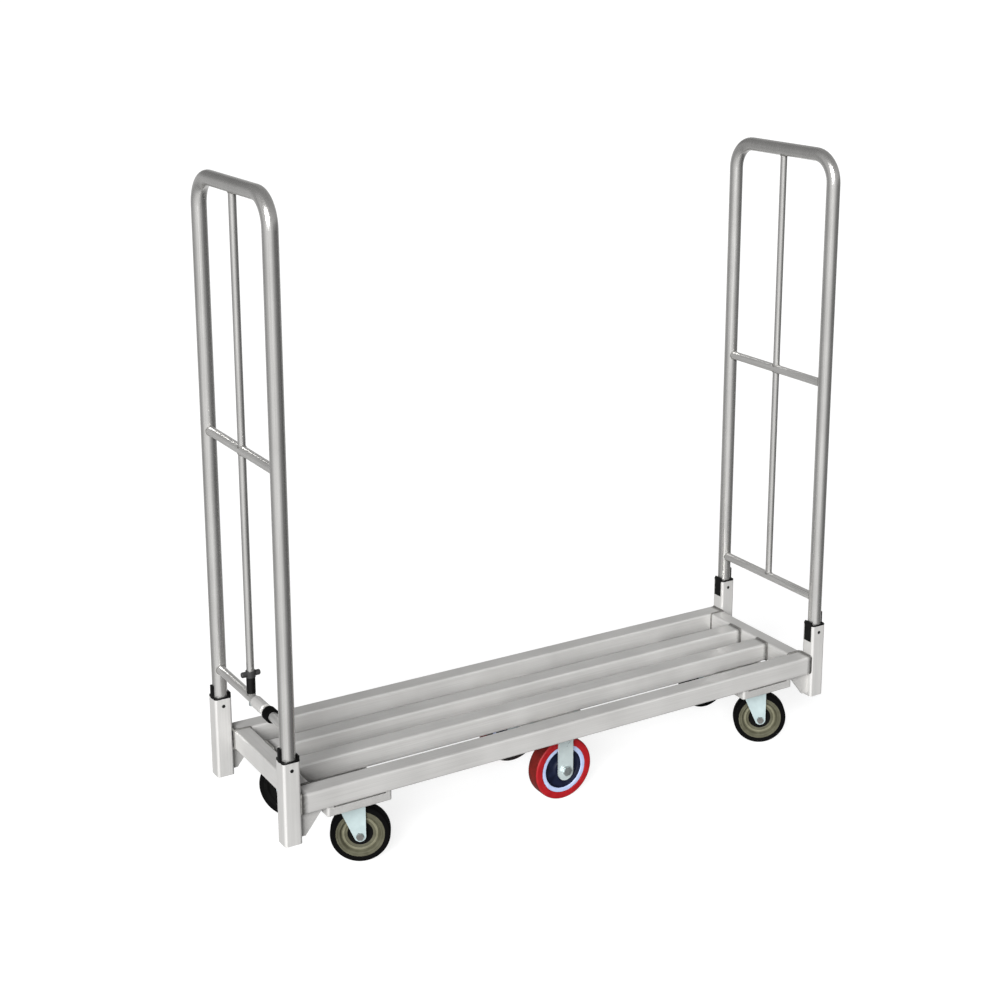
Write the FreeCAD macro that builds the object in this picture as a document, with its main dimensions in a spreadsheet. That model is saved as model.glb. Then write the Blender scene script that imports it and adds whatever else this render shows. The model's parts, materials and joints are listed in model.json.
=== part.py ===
"""U-boat cart: a narrow tube deck on six wheels with a lift-out handle at each end.

Millimetres. X runs along the deck with the near handle at -X, the front is -Y, Z is up and the
origin is on the floor under the middle of the deck.
"""

import FreeCAD, Part
import math
import os

import Sketcher

Vector = FreeCAD.Vector
UP = Vector(0, 0, 1)

# Driving sizes: name, value, what it measures
SIZES = [
    ("handle_spacing", 1366.0, "between the planes of the two handles"),
    ("post_spacing", 360.0, "between the post axes across the cart"),
    ("tube_diameter", 31.75, "handle tube, outside"),
    ("tube_wall", 2.1, "handle tube"),
    ("socket_clearance", 0.35, "handle tube to the inside of a post, each side"),
    ("post_wall", 2.825, "corner post"),
    ("post_radius", 6.0, "outer corner of a post"),
    ("post_drop", 60.3, "post below the underside of the rails"),
    ("socket_rise", 75.2, "post above the deck"),
    ("rail_size", 44.45, "square tube of the rails and slats"),
    ("rail_wall", 3.2, "rails, slats and cross-members"),
    ("rail_radius", 5.0, "outer corner of the rails and slats"),
    ("slat_offset", 53.6, "slat axis from the middle of the deck"),
    ("gusset_run", 50.0, "gusset along the rail"),
    ("gusset_drop", 54.0, "gusset down the post"),
    ("gusset_tip", 13.0, "blunt ends of a gusset"),
    ("gusset_thickness", 6.0, "gusset plate"),
    ("gusset_inset", 16.0, "gusset behind the outer face of the rail"),
    ("tray_width", 146.0, "caster tray along the deck"),
    ("tray_depth", 22.35, "caster tray from web to rails"),
    ("tray_wall", 3.0, "caster tray sheet"),
    ("tray_inset", 5.0, "end of a tray behind the outer face of the rail"),
    ("tray_relief", 4.0, "end flange of a tray below the rail"),
    ("plate_inset", 14.8, "end of the centre wheel plate behind the outer face of the rail"),
    ("plate_width", 160.0, "centre wheel plate along the deck"),
    ("plate_thickness", 4.8, "centre wheel plate"),
    ("handle_height", 1424.0, "axis of the top of a handle above the floor"),
    ("mid_bar_height", 893.0, "axis of the mid bar above the floor"),
    ("rung_height", 361.5, "axis of the rung above the floor"),
    ("bend_radius", 62.0, "bend of the handle tube, to its axis"),
    ("tube_foot", 35.0, "end of the handle tube above the end of a post"),
    ("bar_diameter", 20.0, "mid bar and rung"),
    ("bar_wall", 1.8, "mid bar and rung"),
    ("rod_diameter", 16.0, "centre bar"),
    ("rod_wall", 2.0, "centre bar"),
    ("collar_gap", 0.25, "collar above the mouth of a post"),
    ("collar_height", 3.0, "ring of a collar"),
    ("collar_tab", 26.0, "outer tab of a collar above its ring"),
    ("collar_tab_width", 11.0, "outer tab of a collar"),
    ("collar_tab_wall", 4.6, "outer tab of a collar"),
    ("tongue_width", 24.0, "inner tongue of a collar"),
    ("tongue_length", 40.0, "inner tongue of a collar below the mouth of a post"),
    ("tongue_gap", 0.4, "tongue to the slot of the post, each side"),
    ("screw_diameter", 8.0, "socket screw"),
    ("screw_drop", 16.5, "socket screw below the mouth of a post"),
    ("grip_rise", 52.5, "axis of the T grip above the rung"),
    ("grip_length", 41.0, "T grip from end to end"),
    ("grip_diameter", 12.0, "wings of the T grip"),
    ("grip_boss", 20.6, "middle of the T grip"),
    ("sleeve_wall", 1.3, "black sleeve under the T grip"),
    ("pin_gap", 0.35, "pull pin to its bore, each side"),
    ("pin_reach", 18.5, "pull pin below the axis of the rung"),
    ("pin_travel", 25.0, "lift of the pull pin"),
    ("cross_pin_diameter", 5.0, "cross pin of the T grip"),
    ("keeper_wall", 2.6, "keeper ring on the rung"),
    ("bumper_wall", 5.0, "bumper on the rung"),
    ("wheel_radius", 63.5, "corner wheel"),
    ("wheel_width", 32.0, "corner wheel"),
    ("tyre_depth", 12.0, "tyre of a corner wheel"),
    ("caster_head", 26.0, "top of a corner wheel to the top of its plate"),
    ("caster_setback", 149.0, "swivel axis from the plane of the handle"),
    ("caster_track", 224.0, "between the wheel rows"),
    ("caster_trail", 34.0, "axle behind the swivel axis"),
    ("near_front_angle", -28.0, "degrees, trail of the near front caster from +X as the cart stands"),
    ("near_back_angle", 125.0, "degrees, trail of the near back caster from +X as the cart stands"),
    ("far_front_angle", -32.0, "degrees, trail of the far front caster from +X as the cart stands"),
    ("far_back_angle", -6.0, "degrees, trail of the far back caster from +X as the cart stands"),
    ("caster_plate_length", 92.0, "plate of a caster along the deck"),
    ("caster_plate_width", 67.0, "plate of a caster across the deck"),
    ("race_radius", 29.6, "upper race of a caster, outside"),
    ("race_wall", 3.0, "upper race of a caster"),
    ("fork_wall", 3.2, "fork and plate of a caster"),
    ("fork_gap", 4.0, "wheel to fork leg"),
    ("fork_boss", 12.5, "end of a fork leg about the axle"),
    ("axle_diameter", 9.5, "corner axle"),
    ("axle_head", 14.3, "corner axle's head and nut across the flats"),
    ("running_gap", 0.06, "wheel bore to axle, each side"),
    ("kingpin_diameter", 12.0, "swivel kingpin"),
    ("centre_radius", 73.0, "centre wheel"),
    ("centre_width", 38.0, "centre wheel"),
    ("tread_depth", 17.0, "tread of a centre wheel"),
    ("bracket_length", 146.0, "bracket of a centre wheel along the deck"),
    ("bracket_width", 92.0, "bracket of a centre wheel across the deck"),
    ("bracket_wall", 4.5, "bracket of a centre wheel"),
    ("bracket_leg", 38.0, "width of a bracket leg"),
    ("bracket_tip", 5.0, "bracket leg below the axle, to the centre of its round end"),
    ("centre_axle", 12.7, "centre axle"),
    ("centre_axle_head", 19.0, "centre axle's head and nut across the flats"),
    ("bolt_diameter", 8.0, "plate bolts"),
]

doc = FreeCAD.newDocument("uboat_cart")
sheet = doc.addObject("Spreadsheet::Sheet", "Sizes")
for row, (alias, number, meaning) in enumerate(SIZES, 1):
    sheet.set("A%d" % row, alias)
    sheet.set("B%d" % row, str(number))
    sheet.set("C%d" % row, meaning)
    sheet.setAlias("B%d" % row, alias)
doc.recompute()


class Size:
    """A number together with the sheet expression that gives it."""

    def __init__(self, value, text):
        self.value = value
        self.text = text

    def __float__(self):
        return self.value

    def __add__(self, other):
        other = as_size(other)
        return Size(self.value + other.value, "(%s + %s)" % (self.text, other.text))

    def __sub__(self, other):
        other = as_size(other)
        return Size(self.value - other.value, "(%s - %s)" % (self.text, other.text))

    def __mul__(self, other):
        other = as_size(other)
        return Size(self.value * other.value, "(%s * %s)" % (self.text, other.text))

    def __truediv__(self, other):
        other = as_size(other)
        return Size(self.value / other.value, "(%s / %s)" % (self.text, other.text))

    def __neg__(self):
        return Size(-self.value, "(0 - %s)" % self.text)

    def __radd__(self, other):
        return as_size(other) + self

    def __rsub__(self, other):
        return as_size(other) - self

    def __rmul__(self, other):
        return as_size(other) * self


def as_size(number):
    """The number as a Size."""
    if isinstance(number, Size):
        return number
    return Size(float(number), "%.9g" % number if number >= 0 else "(0 - %.9g)" % -number)


def size(alias):
    """The driving size of that name."""
    return Size(float(sheet.get(alias)), "Sizes." + alias)


def bind(item, name, number):
    """Sets a property of an object from the sheet."""
    item.setExpression(name, as_size(number).text)


def place(item, x=0, y=0, z=0, turn=0.0):
    """Puts an object at a point, turned about Z by that many degrees."""
    spot = Vector(float(x), float(y), float(z))
    item.Placement = FreeCAD.Placement(spot, FreeCAD.Rotation(UP, float(turn)))
    for axis, number in (("x", x), ("y", y), ("z", z)):
        if isinstance(number, Size):
            bind(item, "Placement.Base." + axis, number)
    return item


# Sizes that follow from the driving ones
handle_x = size("handle_spacing") / 2
post_y = size("post_spacing") / 2
tube_radius = size("tube_diameter") / 2
post_inside = size("tube_diameter") + 2 * size("socket_clearance")
post_size = post_inside + 2 * size("post_wall")
outer_y = post_y + post_size / 2
rail_size = size("rail_size")
rail_length = size("handle_spacing") - post_size
rail_y = outer_y - rail_size / 2
rail_inner = rail_y - rail_size / 2
cross_x = handle_x - post_size
slat_length = rail_length - 2 * post_size
caster_height = 2 * size("wheel_radius") + size("caster_head")
rail_bottom = caster_height + size("tray_depth")
rail_z = rail_bottom + rail_size / 2
deck_top = rail_bottom + rail_size
post_bottom = rail_bottom - size("post_drop")
post_top = deck_top + size("socket_rise")
post_length = post_top - post_bottom
tube_end = post_bottom + size("tube_foot")
bar_radius = size("bar_diameter") / 2
rod_radius = size("rod_diameter") / 2
rod_bore = rod_radius - size("rod_wall")
pin_radius = rod_bore - size("pin_gap")
caster_x = handle_x - size("caster_setback")
caster_y = size("caster_track") / 2
tray_end = outer_y - size("tray_inset")
plate_end = outer_y - size("plate_inset")
fork_inside = size("wheel_width") / 2 + size("fork_gap")
fork_outside = fork_inside + size("fork_wall")
axle_drop = caster_height - size("wheel_radius")
race_inside = size("race_radius") - size("race_wall")
bracket_top = rail_bottom - size("plate_thickness")
bracket_inside = size("centre_width") / 2 + size("fork_gap")
bracket_outside = bracket_inside + size("bracket_wall")
centre_drop = bracket_top - size("centre_radius")
bolt_radius = size("bolt_diameter") / 2
caster_bolt_x = 36
caster_bolt_y = 23
bracket_bolt_x = 58
bracket_bolt_y = 22


def origin_plane(body, role):
    """The plane of that role in a body's own origin."""
    for feature in body.Origin.OriginFeatures:
        if feature.Role == role:
            return feature
    raise ValueError(role)


def new_body(name):
    """An empty body with that label."""
    body = doc.addObject("PartDesign::Body", name)
    body.Label = name
    return body


def new_sketch(body, name, role, lift=0):
    """A sketch on one of the body's origin planes, lifted along the plane's normal."""
    sketch = body.newObject("Sketcher::SketchObject", body.Name + "_" + name)
    sketch.AttachmentSupport = [(origin_plane(body, role), "")]
    sketch.MapMode = "FlatFace"
    if isinstance(lift, Size) or lift:
        sketch.AttachmentOffset = FreeCAD.Placement(Vector(0, 0, float(lift)), FreeCAD.Rotation())
        bind(sketch, "AttachmentOffset.Base.z", lift)
    return sketch


def limit(sketch, kind, where, number):
    """Adds a dimension to a sketch and binds it to the sheet."""
    number = as_size(number)
    index = sketch.addConstraint(Sketcher.Constraint(kind, *where, number.value))
    if "Sizes." in number.text:
        bind(sketch, "Constraints[%d]" % index, number)
    return index


def fix_point(sketch, line, end, x, y):
    """Holds one end of a sketch line at a point."""
    for kind, number, axis in (("DistanceX", x, -2), ("DistanceY", y, -1)):
        if float(number) == 0.0:
            sketch.addConstraint(Sketcher.Constraint("PointOnObject", line, end, axis))
        else:
            limit(sketch, kind, (-1, 1, line, end), number)


def outline(sketch, points):
    """A closed outline of straight lines through the points."""
    count = len(points)
    spots = [Vector(float(x), float(y), 0) for x, y in points]
    lines = []
    for k in range(count):
        line = Part.LineSegment(spots[k], spots[(k + 1) % count])
        lines.append(sketch.addGeometry(line, False))
    for k in range(count):
        following = lines[(k + 1) % count]
        sketch.addConstraint(Sketcher.Constraint("Coincident", lines[k], 2, following, 1))
    for k, (x, y) in enumerate(points):
        fix_point(sketch, lines[k], 1, x, y)


def rectangle(sketch, x0, x1, y0, y1):
    """A closed rectangle between two corners."""
    outline(sketch, [(x0, y0), (x1, y0), (x1, y1), (x0, y1)])


def middle_rectangle(sketch, width, depth):
    """A closed rectangle about the origin of a sketch."""
    width = as_size(width) / 2
    depth = as_size(depth) / 2
    rectangle(sketch, -width, width, -depth, depth)


def circle(sketch, radius, x=0, y=0):
    """A circle with its centre at a point."""
    spot = Vector(float(x), float(y), 0)
    index = sketch.addGeometry(Part.Circle(spot, UP, float(radius)), False)
    limit(sketch, "Radius", (index,), radius)
    fix_point(sketch, index, 3, x, y)


def hexagon(sketch, across, x=0, y=0):
    """A regular hexagon with that size across its flats, two of the flats level."""
    reach = as_size(across) / math.sqrt(3.0)
    half = as_size(across) / 2
    x = as_size(x)
    y = as_size(y)
    corners = [(reach, 0), (reach / 2, half), (-reach / 2, half)]
    corners += [(-reach, 0), (-reach / 2, -half), (reach / 2, -half)]
    outline(sketch, [(x + dx, y + dy) for dx, dy in corners])


def pad(body, sketch, length, both=False, back=False):
    """Pads a sketch along its normal, to both sides or backward."""
    feature = body.newObject("PartDesign::Pad", sketch.Name + "_pad")
    feature.Profile = sketch
    feature.SideType = "Symmetric" if both else "One side"
    feature.Reversed = back
    bind(feature, "Length", length)
    doc.recompute()
    return feature


def pocket(body, sketch, length, both=False, along=False):
    """Cuts a sketch out of a body, against its normal, along it or to both sides."""
    before = body.Shape.Volume
    feature = body.newObject("PartDesign::Pocket", sketch.Name + "_pocket")
    feature.Profile = sketch
    feature.SideType = "Symmetric" if both else "One side"
    feature.Reversed = along
    bind(feature, "Length", length)
    doc.recompute()
    if body.Shape.Volume > before - 0.01:
        raise ValueError("%s cuts nothing" % feature.Name)
    return feature


def revolve(body, sketch, axis):
    """Turns a sketch about one of its own axes."""
    feature = body.newObject("PartDesign::Revolution", sketch.Name + "_turn")
    feature.Profile = sketch
    feature.ReferenceAxis = (sketch, [axis])
    feature.Angle = 360.0
    doc.recompute()
    return feature


def soften(body, radius, wanted):
    """Fillets the edges of a body's last feature for which wanted(edge) is true."""
    base = body.Tip
    names = []
    for number, edge in enumerate(base.Shape.Edges, 1):
        if wanted(edge):
            names.append("Edge%d" % number)
    if not names:
        raise ValueError("no edge to soften on " + body.Name)
    feature = body.newObject("PartDesign::Fillet", "%s_soft%d" % (body.Name, len(body.Group)))
    feature.Base = (base, names)
    bind(feature, "Radius", radius)
    doc.recompute()
    return feature


def runs(edge, axis):
    """Whether a straight edge runs along that axis."""
    if not isinstance(edge.Curve, (Part.Line, Part.LineSegment)):
        return False
    way = edge.Vertexes[-1].Point - edge.Vertexes[0].Point
    return abs(getattr(way, axis)) > 0.999 * way.Length


def middle(edge):
    """The middle of an edge's bounding box."""
    return edge.BoundBox.Center


def group(name, items):
    """Several like pieces as one named group of separate solids."""
    feature = doc.addObject("Part::Compound", name)
    feature.Label = name
    feature.Links = items
    doc.recompute()
    return feature


def tube(name, role, width, depth, wall, radius, length):
    """A square tube with rounded corners, about its own middle."""
    body = new_body(name)
    section = new_sketch(body, "section", role)
    middle_rectangle(section, width, depth)
    middle_rectangle(section, width - 2 * wall, depth - 2 * wall)
    pad(body, section, length, both=True)
    axis = {"YZ_Plane": "x", "XZ_Plane": "y", "XY_Plane": "z"}[role]
    first = {"x": "y", "y": "x", "z": "x"}[axis]
    outer_edge = float(width) / 2
    inner_edge = float(width - 2 * wall) / 2

    def at(edge, offset):
        return runs(edge, axis) and abs(abs(getattr(middle(edge), first)) - offset) < 0.01

    soften(body, radius, lambda edge: at(edge, outer_edge))
    soften(body, radius - wall * 0.7, lambda edge: at(edge, inner_edge))
    return body


parts = []


def deck_frame():
    """Rails, slats, cross-members, posts and gussets."""
    wall = size("rail_wall")
    for name, y, length in (
        ("front_rail", -rail_y, rail_length),
        ("back_rail", rail_y, rail_length),
        ("front_slat", -size("slat_offset"), slat_length),
        ("back_slat", size("slat_offset"), slat_length),
    ):
        body = tube(name, "YZ_Plane", rail_size, rail_size, wall, size("rail_radius"), length)
        parts.append(place(body, 0, y, rail_z))
    between = 2 * rail_inner
    for name, x in (("near_cross_member", -cross_x), ("far_cross_member", cross_x)):
        body = tube(name, "XZ_Plane", post_size, rail_size, wall, size("rail_radius"), between)
        parts.append(place(body, x, 0, rail_z))
    for end, x, turn in (("near", -handle_x, 0.0), ("far", handle_x, 180.0)):
        for side, y in (("front", -post_y), ("back", post_y)):
            parts.append(place(post(end + "_" + side + "_post", turn), x, y, post_bottom, turn))
    gussets = []
    plate_y = outer_y - size("gusset_inset") - size("gusset_thickness") / 2
    for end, x, turn in (("near", -handle_x, 0.0), ("far", handle_x, 180.0)):
        for side, y in (("front", -plate_y), ("back", plate_y)):
            gussets.append(place(gusset(end + "_" + side + "_gusset"), x, y, rail_bottom, turn))
    parts.append(group("corner_gussets", gussets))


def post(name, turn):
    """A corner post about its own axis, its slotted face toward +X, and a screw hole."""
    body = new_body(name)
    section = new_sketch(body, "section", "XY_Plane")
    middle_rectangle(section, post_size, post_size)
    middle_rectangle(section, post_inside, post_inside)
    pad(body, section, post_length)
    half = float(post_size) / 2
    inside = float(post_inside) / 2
    soften(body, size("post_radius"), lambda e: runs(e, "z") and abs(middle(e).x) > half - 0.1)
    bore_radius = size("post_radius") - 0.7 * size("post_wall")
    soften(body, bore_radius, lambda e: runs(e, "z") and abs(abs(middle(e).x) - inside) < 0.01)
    slot = new_sketch(body, "slot", "YZ_Plane")
    slot_half = size("tongue_width") / 2 + size("tongue_gap")
    slot_foot = post_length - size("tongue_length") - size("tongue_gap")
    rectangle(slot, -slot_half, slot_half, slot_foot, post_length + 1)
    pocket(body, slot, post_size, along=True)
    hole = new_sketch(body, "hole", "XZ_Plane")
    circle(hole, size("screw_diameter") / 2, 0, post_length - size("screw_drop"))
    pocket(body, hole, post_size, along=turn == 0.0)
    return body


def gusset(name):
    """A blunt three-sided plate in the corner between a rail (above) and a post (toward -X)."""
    body = new_body(name)
    face = post_size / 2
    tip = size("gusset_tip")
    run = face + size("gusset_run")
    shape = new_sketch(body, "shape", "XZ_Plane")
    drop = size("gusset_drop")
    points = [(face, 0), (face, -drop), (face + tip, -drop), (run, -tip * 0.5), (run, 0)]
    outline(shape, points)
    pad(body, shape, size("gusset_thickness"), both=True)
    return body


def caster_tray(name, x):
    """A shallow tray across the underside of the deck that carries one pair of casters."""
    body = new_body(name)
    wall = size("tray_wall")
    depth = size("tray_depth")
    width = size("tray_width")
    web = new_sketch(body, "web", "XY_Plane")
    middle_rectangle(web, width, 2 * tray_end)
    pad(body, web, depth)
    soften(body, 6, lambda e: runs(e, "z"))
    soften(body, 2.5, lambda e: middle(e).z < 0.01)
    hollow = new_sketch(body, "hollow", "XY_Plane", wall)
    middle_rectangle(hollow, width - 2 * wall, 2 * (tray_end - wall))
    pocket(body, hollow, depth, along=True)
    relief = new_sketch(body, "relief", "XZ_Plane")
    reach = width / 2 - 14
    rectangle(relief, -reach, reach, depth - size("tray_relief"), depth + 1)
    pocket(body, relief, 4 * tray_end, both=True)
    holes = new_sketch(body, "holes", "XY_Plane", wall * 2)
    for y in (-caster_y, caster_y):
        circle(holes, 11, 0, y)
        for dx in (-caster_bolt_x, caster_bolt_x):
            for dy in (-caster_bolt_y, caster_bolt_y):
                circle(holes, bolt_radius, dx, y + dy)
    pocket(body, holes, wall * 3)
    return place(body, x, 0, caster_height)


def wheel_plate():
    """The flat plate under the middle of the deck that carries the centre wheels."""
    body = new_body("centre_wheel_plate")
    web = new_sketch(body, "web", "XY_Plane")
    middle_rectangle(web, size("plate_width"), 2 * plate_end)
    pad(body, web, size("plate_thickness"))
    soften(body, 8, lambda e: runs(e, "z"))
    holes = new_sketch(body, "holes", "XY_Plane", size("plate_thickness") * 2)
    for y in (-caster_y, caster_y):
        for dx in (-bracket_bolt_x, bracket_bolt_x):
            for dy in (-bracket_bolt_y, bracket_bolt_y):
                circle(holes, bolt_radius, dx, y + dy)
    pocket(body, holes, size("plate_thickness") * 3)
    return place(body, 0, 0, bracket_top)


def socket_screw(name):
    """A set screw flush in the front wall of a post, its key socket toward -Y."""
    body = new_body(name)
    shank = new_sketch(body, "shank", "XZ_Plane", post_inside / 2)
    circle(shank, size("screw_diameter") / 2)
    pad(body, shank, size("post_wall"))
    key = new_sketch(body, "key", "XZ_Plane", post_size / 2)
    hexagon(key, size("screw_diameter") / 2)
    pocket(body, key, size("post_wall") * 0.6)
    return body


def handle_tube(name, x):
    """The bent tube of a handle, standing in two posts."""
    body = new_body(name)
    path = new_sketch(body, "path", "YZ_Plane")
    spread, foot, top = float(post_y), float(tube_end), float(size("handle_height"))
    bend = float(size("bend_radius"))
    corner = top - bend
    path.addGeometry(Part.LineSegment(Vector(-spread, foot), Vector(-spread, corner)), False)
    arc = Part.Circle(Vector(bend - spread, corner), UP, bend)
    path.addGeometry(Part.ArcOfCircle(arc, math.pi / 2, math.pi), False)
    path.addGeometry(Part.LineSegment(Vector(bend - spread, top), Vector(spread - bend, top)), False)
    arc = Part.Circle(Vector(spread - bend, corner), UP, bend)
    path.addGeometry(Part.ArcOfCircle(arc, 0.0, math.pi / 2), False)
    path.addGeometry(Part.LineSegment(Vector(spread, corner), Vector(spread, foot)), False)
    for rule in (
        ("Tangent", 0, 2, 1, 2),
        ("Tangent", 1, 1, 2, 1),
        ("Tangent", 2, 2, 3, 2),
        ("Tangent", 3, 1, 4, 1),
        ("Vertical", 0),
        ("Horizontal", 2),
        ("Vertical", 4),
        ("Equal", 1, 3),
    ):
        path.addConstraint(Sketcher.Constraint(*rule))
    fix_point(path, 0, 1, -post_y, tube_end)
    fix_point(path, 4, 2, post_y, tube_end)
    limit(path, "DistanceY", (-1, 1, 2, 1), size("handle_height"))
    limit(path, "Radius", (1,), size("bend_radius"))
    section = new_sketch(body, "section", "XY_Plane", tube_end)
    circle(section, tube_radius, 0, -post_y)
    circle(section, tube_radius - size("tube_wall"), 0, -post_y)
    doc.recompute()
    pipe = body.newObject("PartDesign::AdditivePipe", name + "_pipe")
    pipe.Profile = section
    pipe.Spine = (path, ["Edge%d" % k for k in range(1, 6)])
    doc.recompute()
    return place(body, x)


def cross_bar(name, x, height, bored=False):
    """A tube between the legs of a handle, its ends shaped to the legs."""
    body = new_body(name)
    section = new_sketch(body, "section", "XZ_Plane")
    circle(section, bar_radius)
    circle(section, bar_radius - size("bar_wall"))
    pad(body, section, size("post_spacing"), both=True)
    legs = new_sketch(body, "legs", "XY_Plane")
    for y in (-post_y, post_y):
        circle(legs, tube_radius, 0, y)
    pocket(body, legs, 4 * bar_radius, both=True)
    if bored:
        bore = new_sketch(body, "bore", "XY_Plane")
        circle(bore, rod_bore)
        pocket(body, bore, 4 * bar_radius, both=True)
    return place(body, x, 0, height)


def centre_bar(name, x, low, high, low_radius, high_radius, slotted=False):
    """An upright tube between two level bars, its ends shaped to them."""
    body = new_body(name)
    section = new_sketch(body, "section", "XY_Plane")
    circle(section, rod_radius)
    circle(section, rod_bore)
    pad(body, section, high - low)
    for end, z, radius in (("foot", 0, low_radius), ("head", high - low, high_radius)):
        cut = new_sketch(body, end, "XZ_Plane")
        circle(cut, radius, 0, z)
        pocket(body, cut, 4 * rod_radius, both=True)
    if slotted:
        half = size("cross_pin_diameter") / 2 + size("tongue_gap")
        slot = new_sketch(body, "slot", "YZ_Plane")
        rest = size("grip_rise")
        rectangle(slot, -half, half, rest - half, rest + size("pin_travel") + half)
        pocket(body, slot, 4 * rod_radius, both=True)
    return place(body, x, 0, low)


def collar(name):
    """A black ring on a handle leg, tab outward (-X) and tongue inward, z from the post mouth."""
    body = new_body(name)
    half = post_size / 2
    tab = new_sketch(body, "tab", "XY_Plane", size("collar_gap"))
    outer = tube_radius + size("collar_tab_wall")
    circle(tab, outer)
    circle(tab, tube_radius)
    rise = size("collar_height") + size("collar_tab")
    pad(body, tab, rise)
    trim = new_sketch(body, "trim", "XY_Plane")
    reach = outer + 2
    side = size("collar_tab_width") / 2
    root = -tube_radius * 0.55
    points = [(-reach, side), (root, side), (root, -side), (-reach, -side)]
    points += [(-reach, -reach), (reach, -reach), (reach, reach), (-reach, reach)]
    outline(trim, points)
    pocket(body, trim, 2 * rise, along=True)
    ring = new_sketch(body, "ring", "XY_Plane", size("collar_gap"))
    middle_rectangle(ring, post_size, post_size)
    circle(ring, tube_radius)
    pad(body, ring, size("collar_height"))
    edge = float(half)

    def corner(line):
        spot = middle(line)
        return runs(line, "z") and min(abs(spot.x), abs(spot.y)) > edge - 0.1

    soften(body, size("post_radius"), corner)
    tongue = new_sketch(body, "tongue", "XY_Plane", -size("tongue_length"))
    wide = size("tongue_width") / 2
    rectangle(tongue, post_inside / 2 + 0.1, half + 0.6, -wide, wide)
    rise = size("tongue_length") + size("collar_gap") + size("collar_height") + 6
    pad(body, tongue, rise)
    return body


def pull_pin(x):
    """The pull pin in the foot of the near centre bar, with its cross pin and T grip."""
    height = size("rung_height") + size("grip_rise")
    grip_x = size("grip_length") / 2
    hole = size("cross_pin_diameter") / 2
    pin = new_body("pull_pin")
    section = new_sketch(pin, "section", "XY_Plane", -(size("grip_rise") + size("pin_reach")))
    circle(section, pin_radius)
    pad(pin, section, size("grip_rise") + size("pin_reach") + 9)
    bore = new_sketch(pin, "bore", "YZ_Plane")
    circle(bore, hole)
    pocket(pin, bore, 4 * rod_radius, both=True)
    soften(pin, 1.5, lambda e: middle(e).z < -float(size("grip_rise")) - 5)
    parts.append(place(pin, x, 0, height))

    cross = new_body("pull_cross_pin")
    section = new_sketch(cross, "section", "YZ_Plane")
    circle(section, hole)
    pad(cross, section, size("grip_boss") - 1, both=True)
    parts.append(place(cross, x, 0, height))

    grip = new_body("pull_grip")
    boss = new_sketch(grip, "boss", "XY_Plane")
    circle(boss, size("grip_boss") / 2)
    pad(grip, boss, size("grip_diameter") + 2, both=True)
    wings = new_sketch(grip, "wings", "YZ_Plane")
    circle(wings, size("grip_diameter") / 2)
    pad(grip, wings, size("grip_length"), both=True)
    end = float(grip_x)
    soften(grip, 3, lambda e: abs(abs(middle(e).x) - end) < 0.01)
    bore = new_sketch(grip, "bore", "XY_Plane")
    circle(bore, rod_radius + size("tongue_gap"))
    pocket(grip, bore, 4 * rod_radius, both=True)
    across = new_sketch(grip, "across", "YZ_Plane")
    circle(across, hole)
    pocket(grip, across, size("grip_boss") - 1, both=True)
    parts.append(place(grip, x, 0, height))

    sleeve = new_body("pin_sleeve")
    section = new_sketch(sleeve, "section", "XY_Plane")
    circle(section, rod_radius + size("sleeve_wall"))
    circle(section, rod_radius)
    low = bar_radius + 0.5
    pad(sleeve, section, size("grip_rise") - size("grip_diameter") / 2 - 1.4 - low)
    parts.append(place(sleeve, x, 0, size("rung_height") + low))


def rung_rings(x):
    """The bright keeper ring and the black bumper on the near rung."""
    for name, wall, y, length in (
        ("rung_keeper", size("keeper_wall"), -50, 50),
        ("rung_bumper", size("bumper_wall"), -100, 24),
    ):
        ring = new_body(name)
        section = new_sketch(ring, "section", "XZ_Plane")
        circle(section, bar_radius + wall)
        circle(section, bar_radius)
        pad(ring, section, length, both=True)
        rim = float(bar_radius + wall)
        soften(ring, wall * 0.4, lambda e: e.BoundBox.ZMax > rim - 0.05 and e.BoundBox.YLength < 1)
        parts.append(place(ring, x, y, size("rung_height")))


def handles():
    """The two lift-out handles."""
    mid, rung, top = size("mid_bar_height"), size("rung_height"), size("handle_height")
    for end, x, turn in (("near", -handle_x, 0.0), ("far", handle_x, 180.0)):
        near = end == "near"
        parts.append(handle_tube(end + "_handle_tube", x))
        parts.append(cross_bar(end + "_mid_bar", x, mid))
        parts.append(cross_bar(end + "_rung", x, rung, bored=near))
        parts.append(centre_bar(end + "_upper_bar", x, mid, top, bar_radius, tube_radius))
        lower = centre_bar(end + "_lower_bar", x, rung, mid, bar_radius, bar_radius, slotted=near)
        parts.append(lower)
        rings = []
        for side, y in (("front", -post_y), ("back", post_y)):
            rings.append(place(collar(end + "_" + side + "_collar"), x, y, post_top, turn))
        parts.append(group(end + "_collars", rings))
    pull_pin(-handle_x)
    rung_rings(-handle_x)


def caster_plate(name):
    """A caster's bolted plate with the upper race pressed into it, z from its top."""
    body = new_body(name)
    wall = size("fork_wall")
    web = new_sketch(body, "web", "XY_Plane", -wall)
    middle_rectangle(web, size("caster_plate_length"), size("caster_plate_width"))
    pad(body, web, wall)
    soften(body, 8, lambda e: runs(e, "z"))
    race = new_sketch(body, "race", "XZ_Plane")
    low = -wall - 6.4
    rectangle(race, race_inside, size("race_radius"), low, -wall * 0.5)
    revolve(body, race, "V_Axis")
    track = new_sketch(body, "track", "XZ_Plane")
    rectangle(track, 10, 20, -wall - 2.2, -wall * 0.5)
    revolve(body, track, "V_Axis")
    holes = new_sketch(body, "holes", "XY_Plane", wall)
    circle(holes, size("kingpin_diameter") / 2)
    for dx in (-caster_bolt_x, caster_bolt_x):
        for dy in (-caster_bolt_y, caster_bolt_y):
            circle(holes, bolt_radius, dx, dy)
    pocket(body, holes, wall * 3)
    return body


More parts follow.
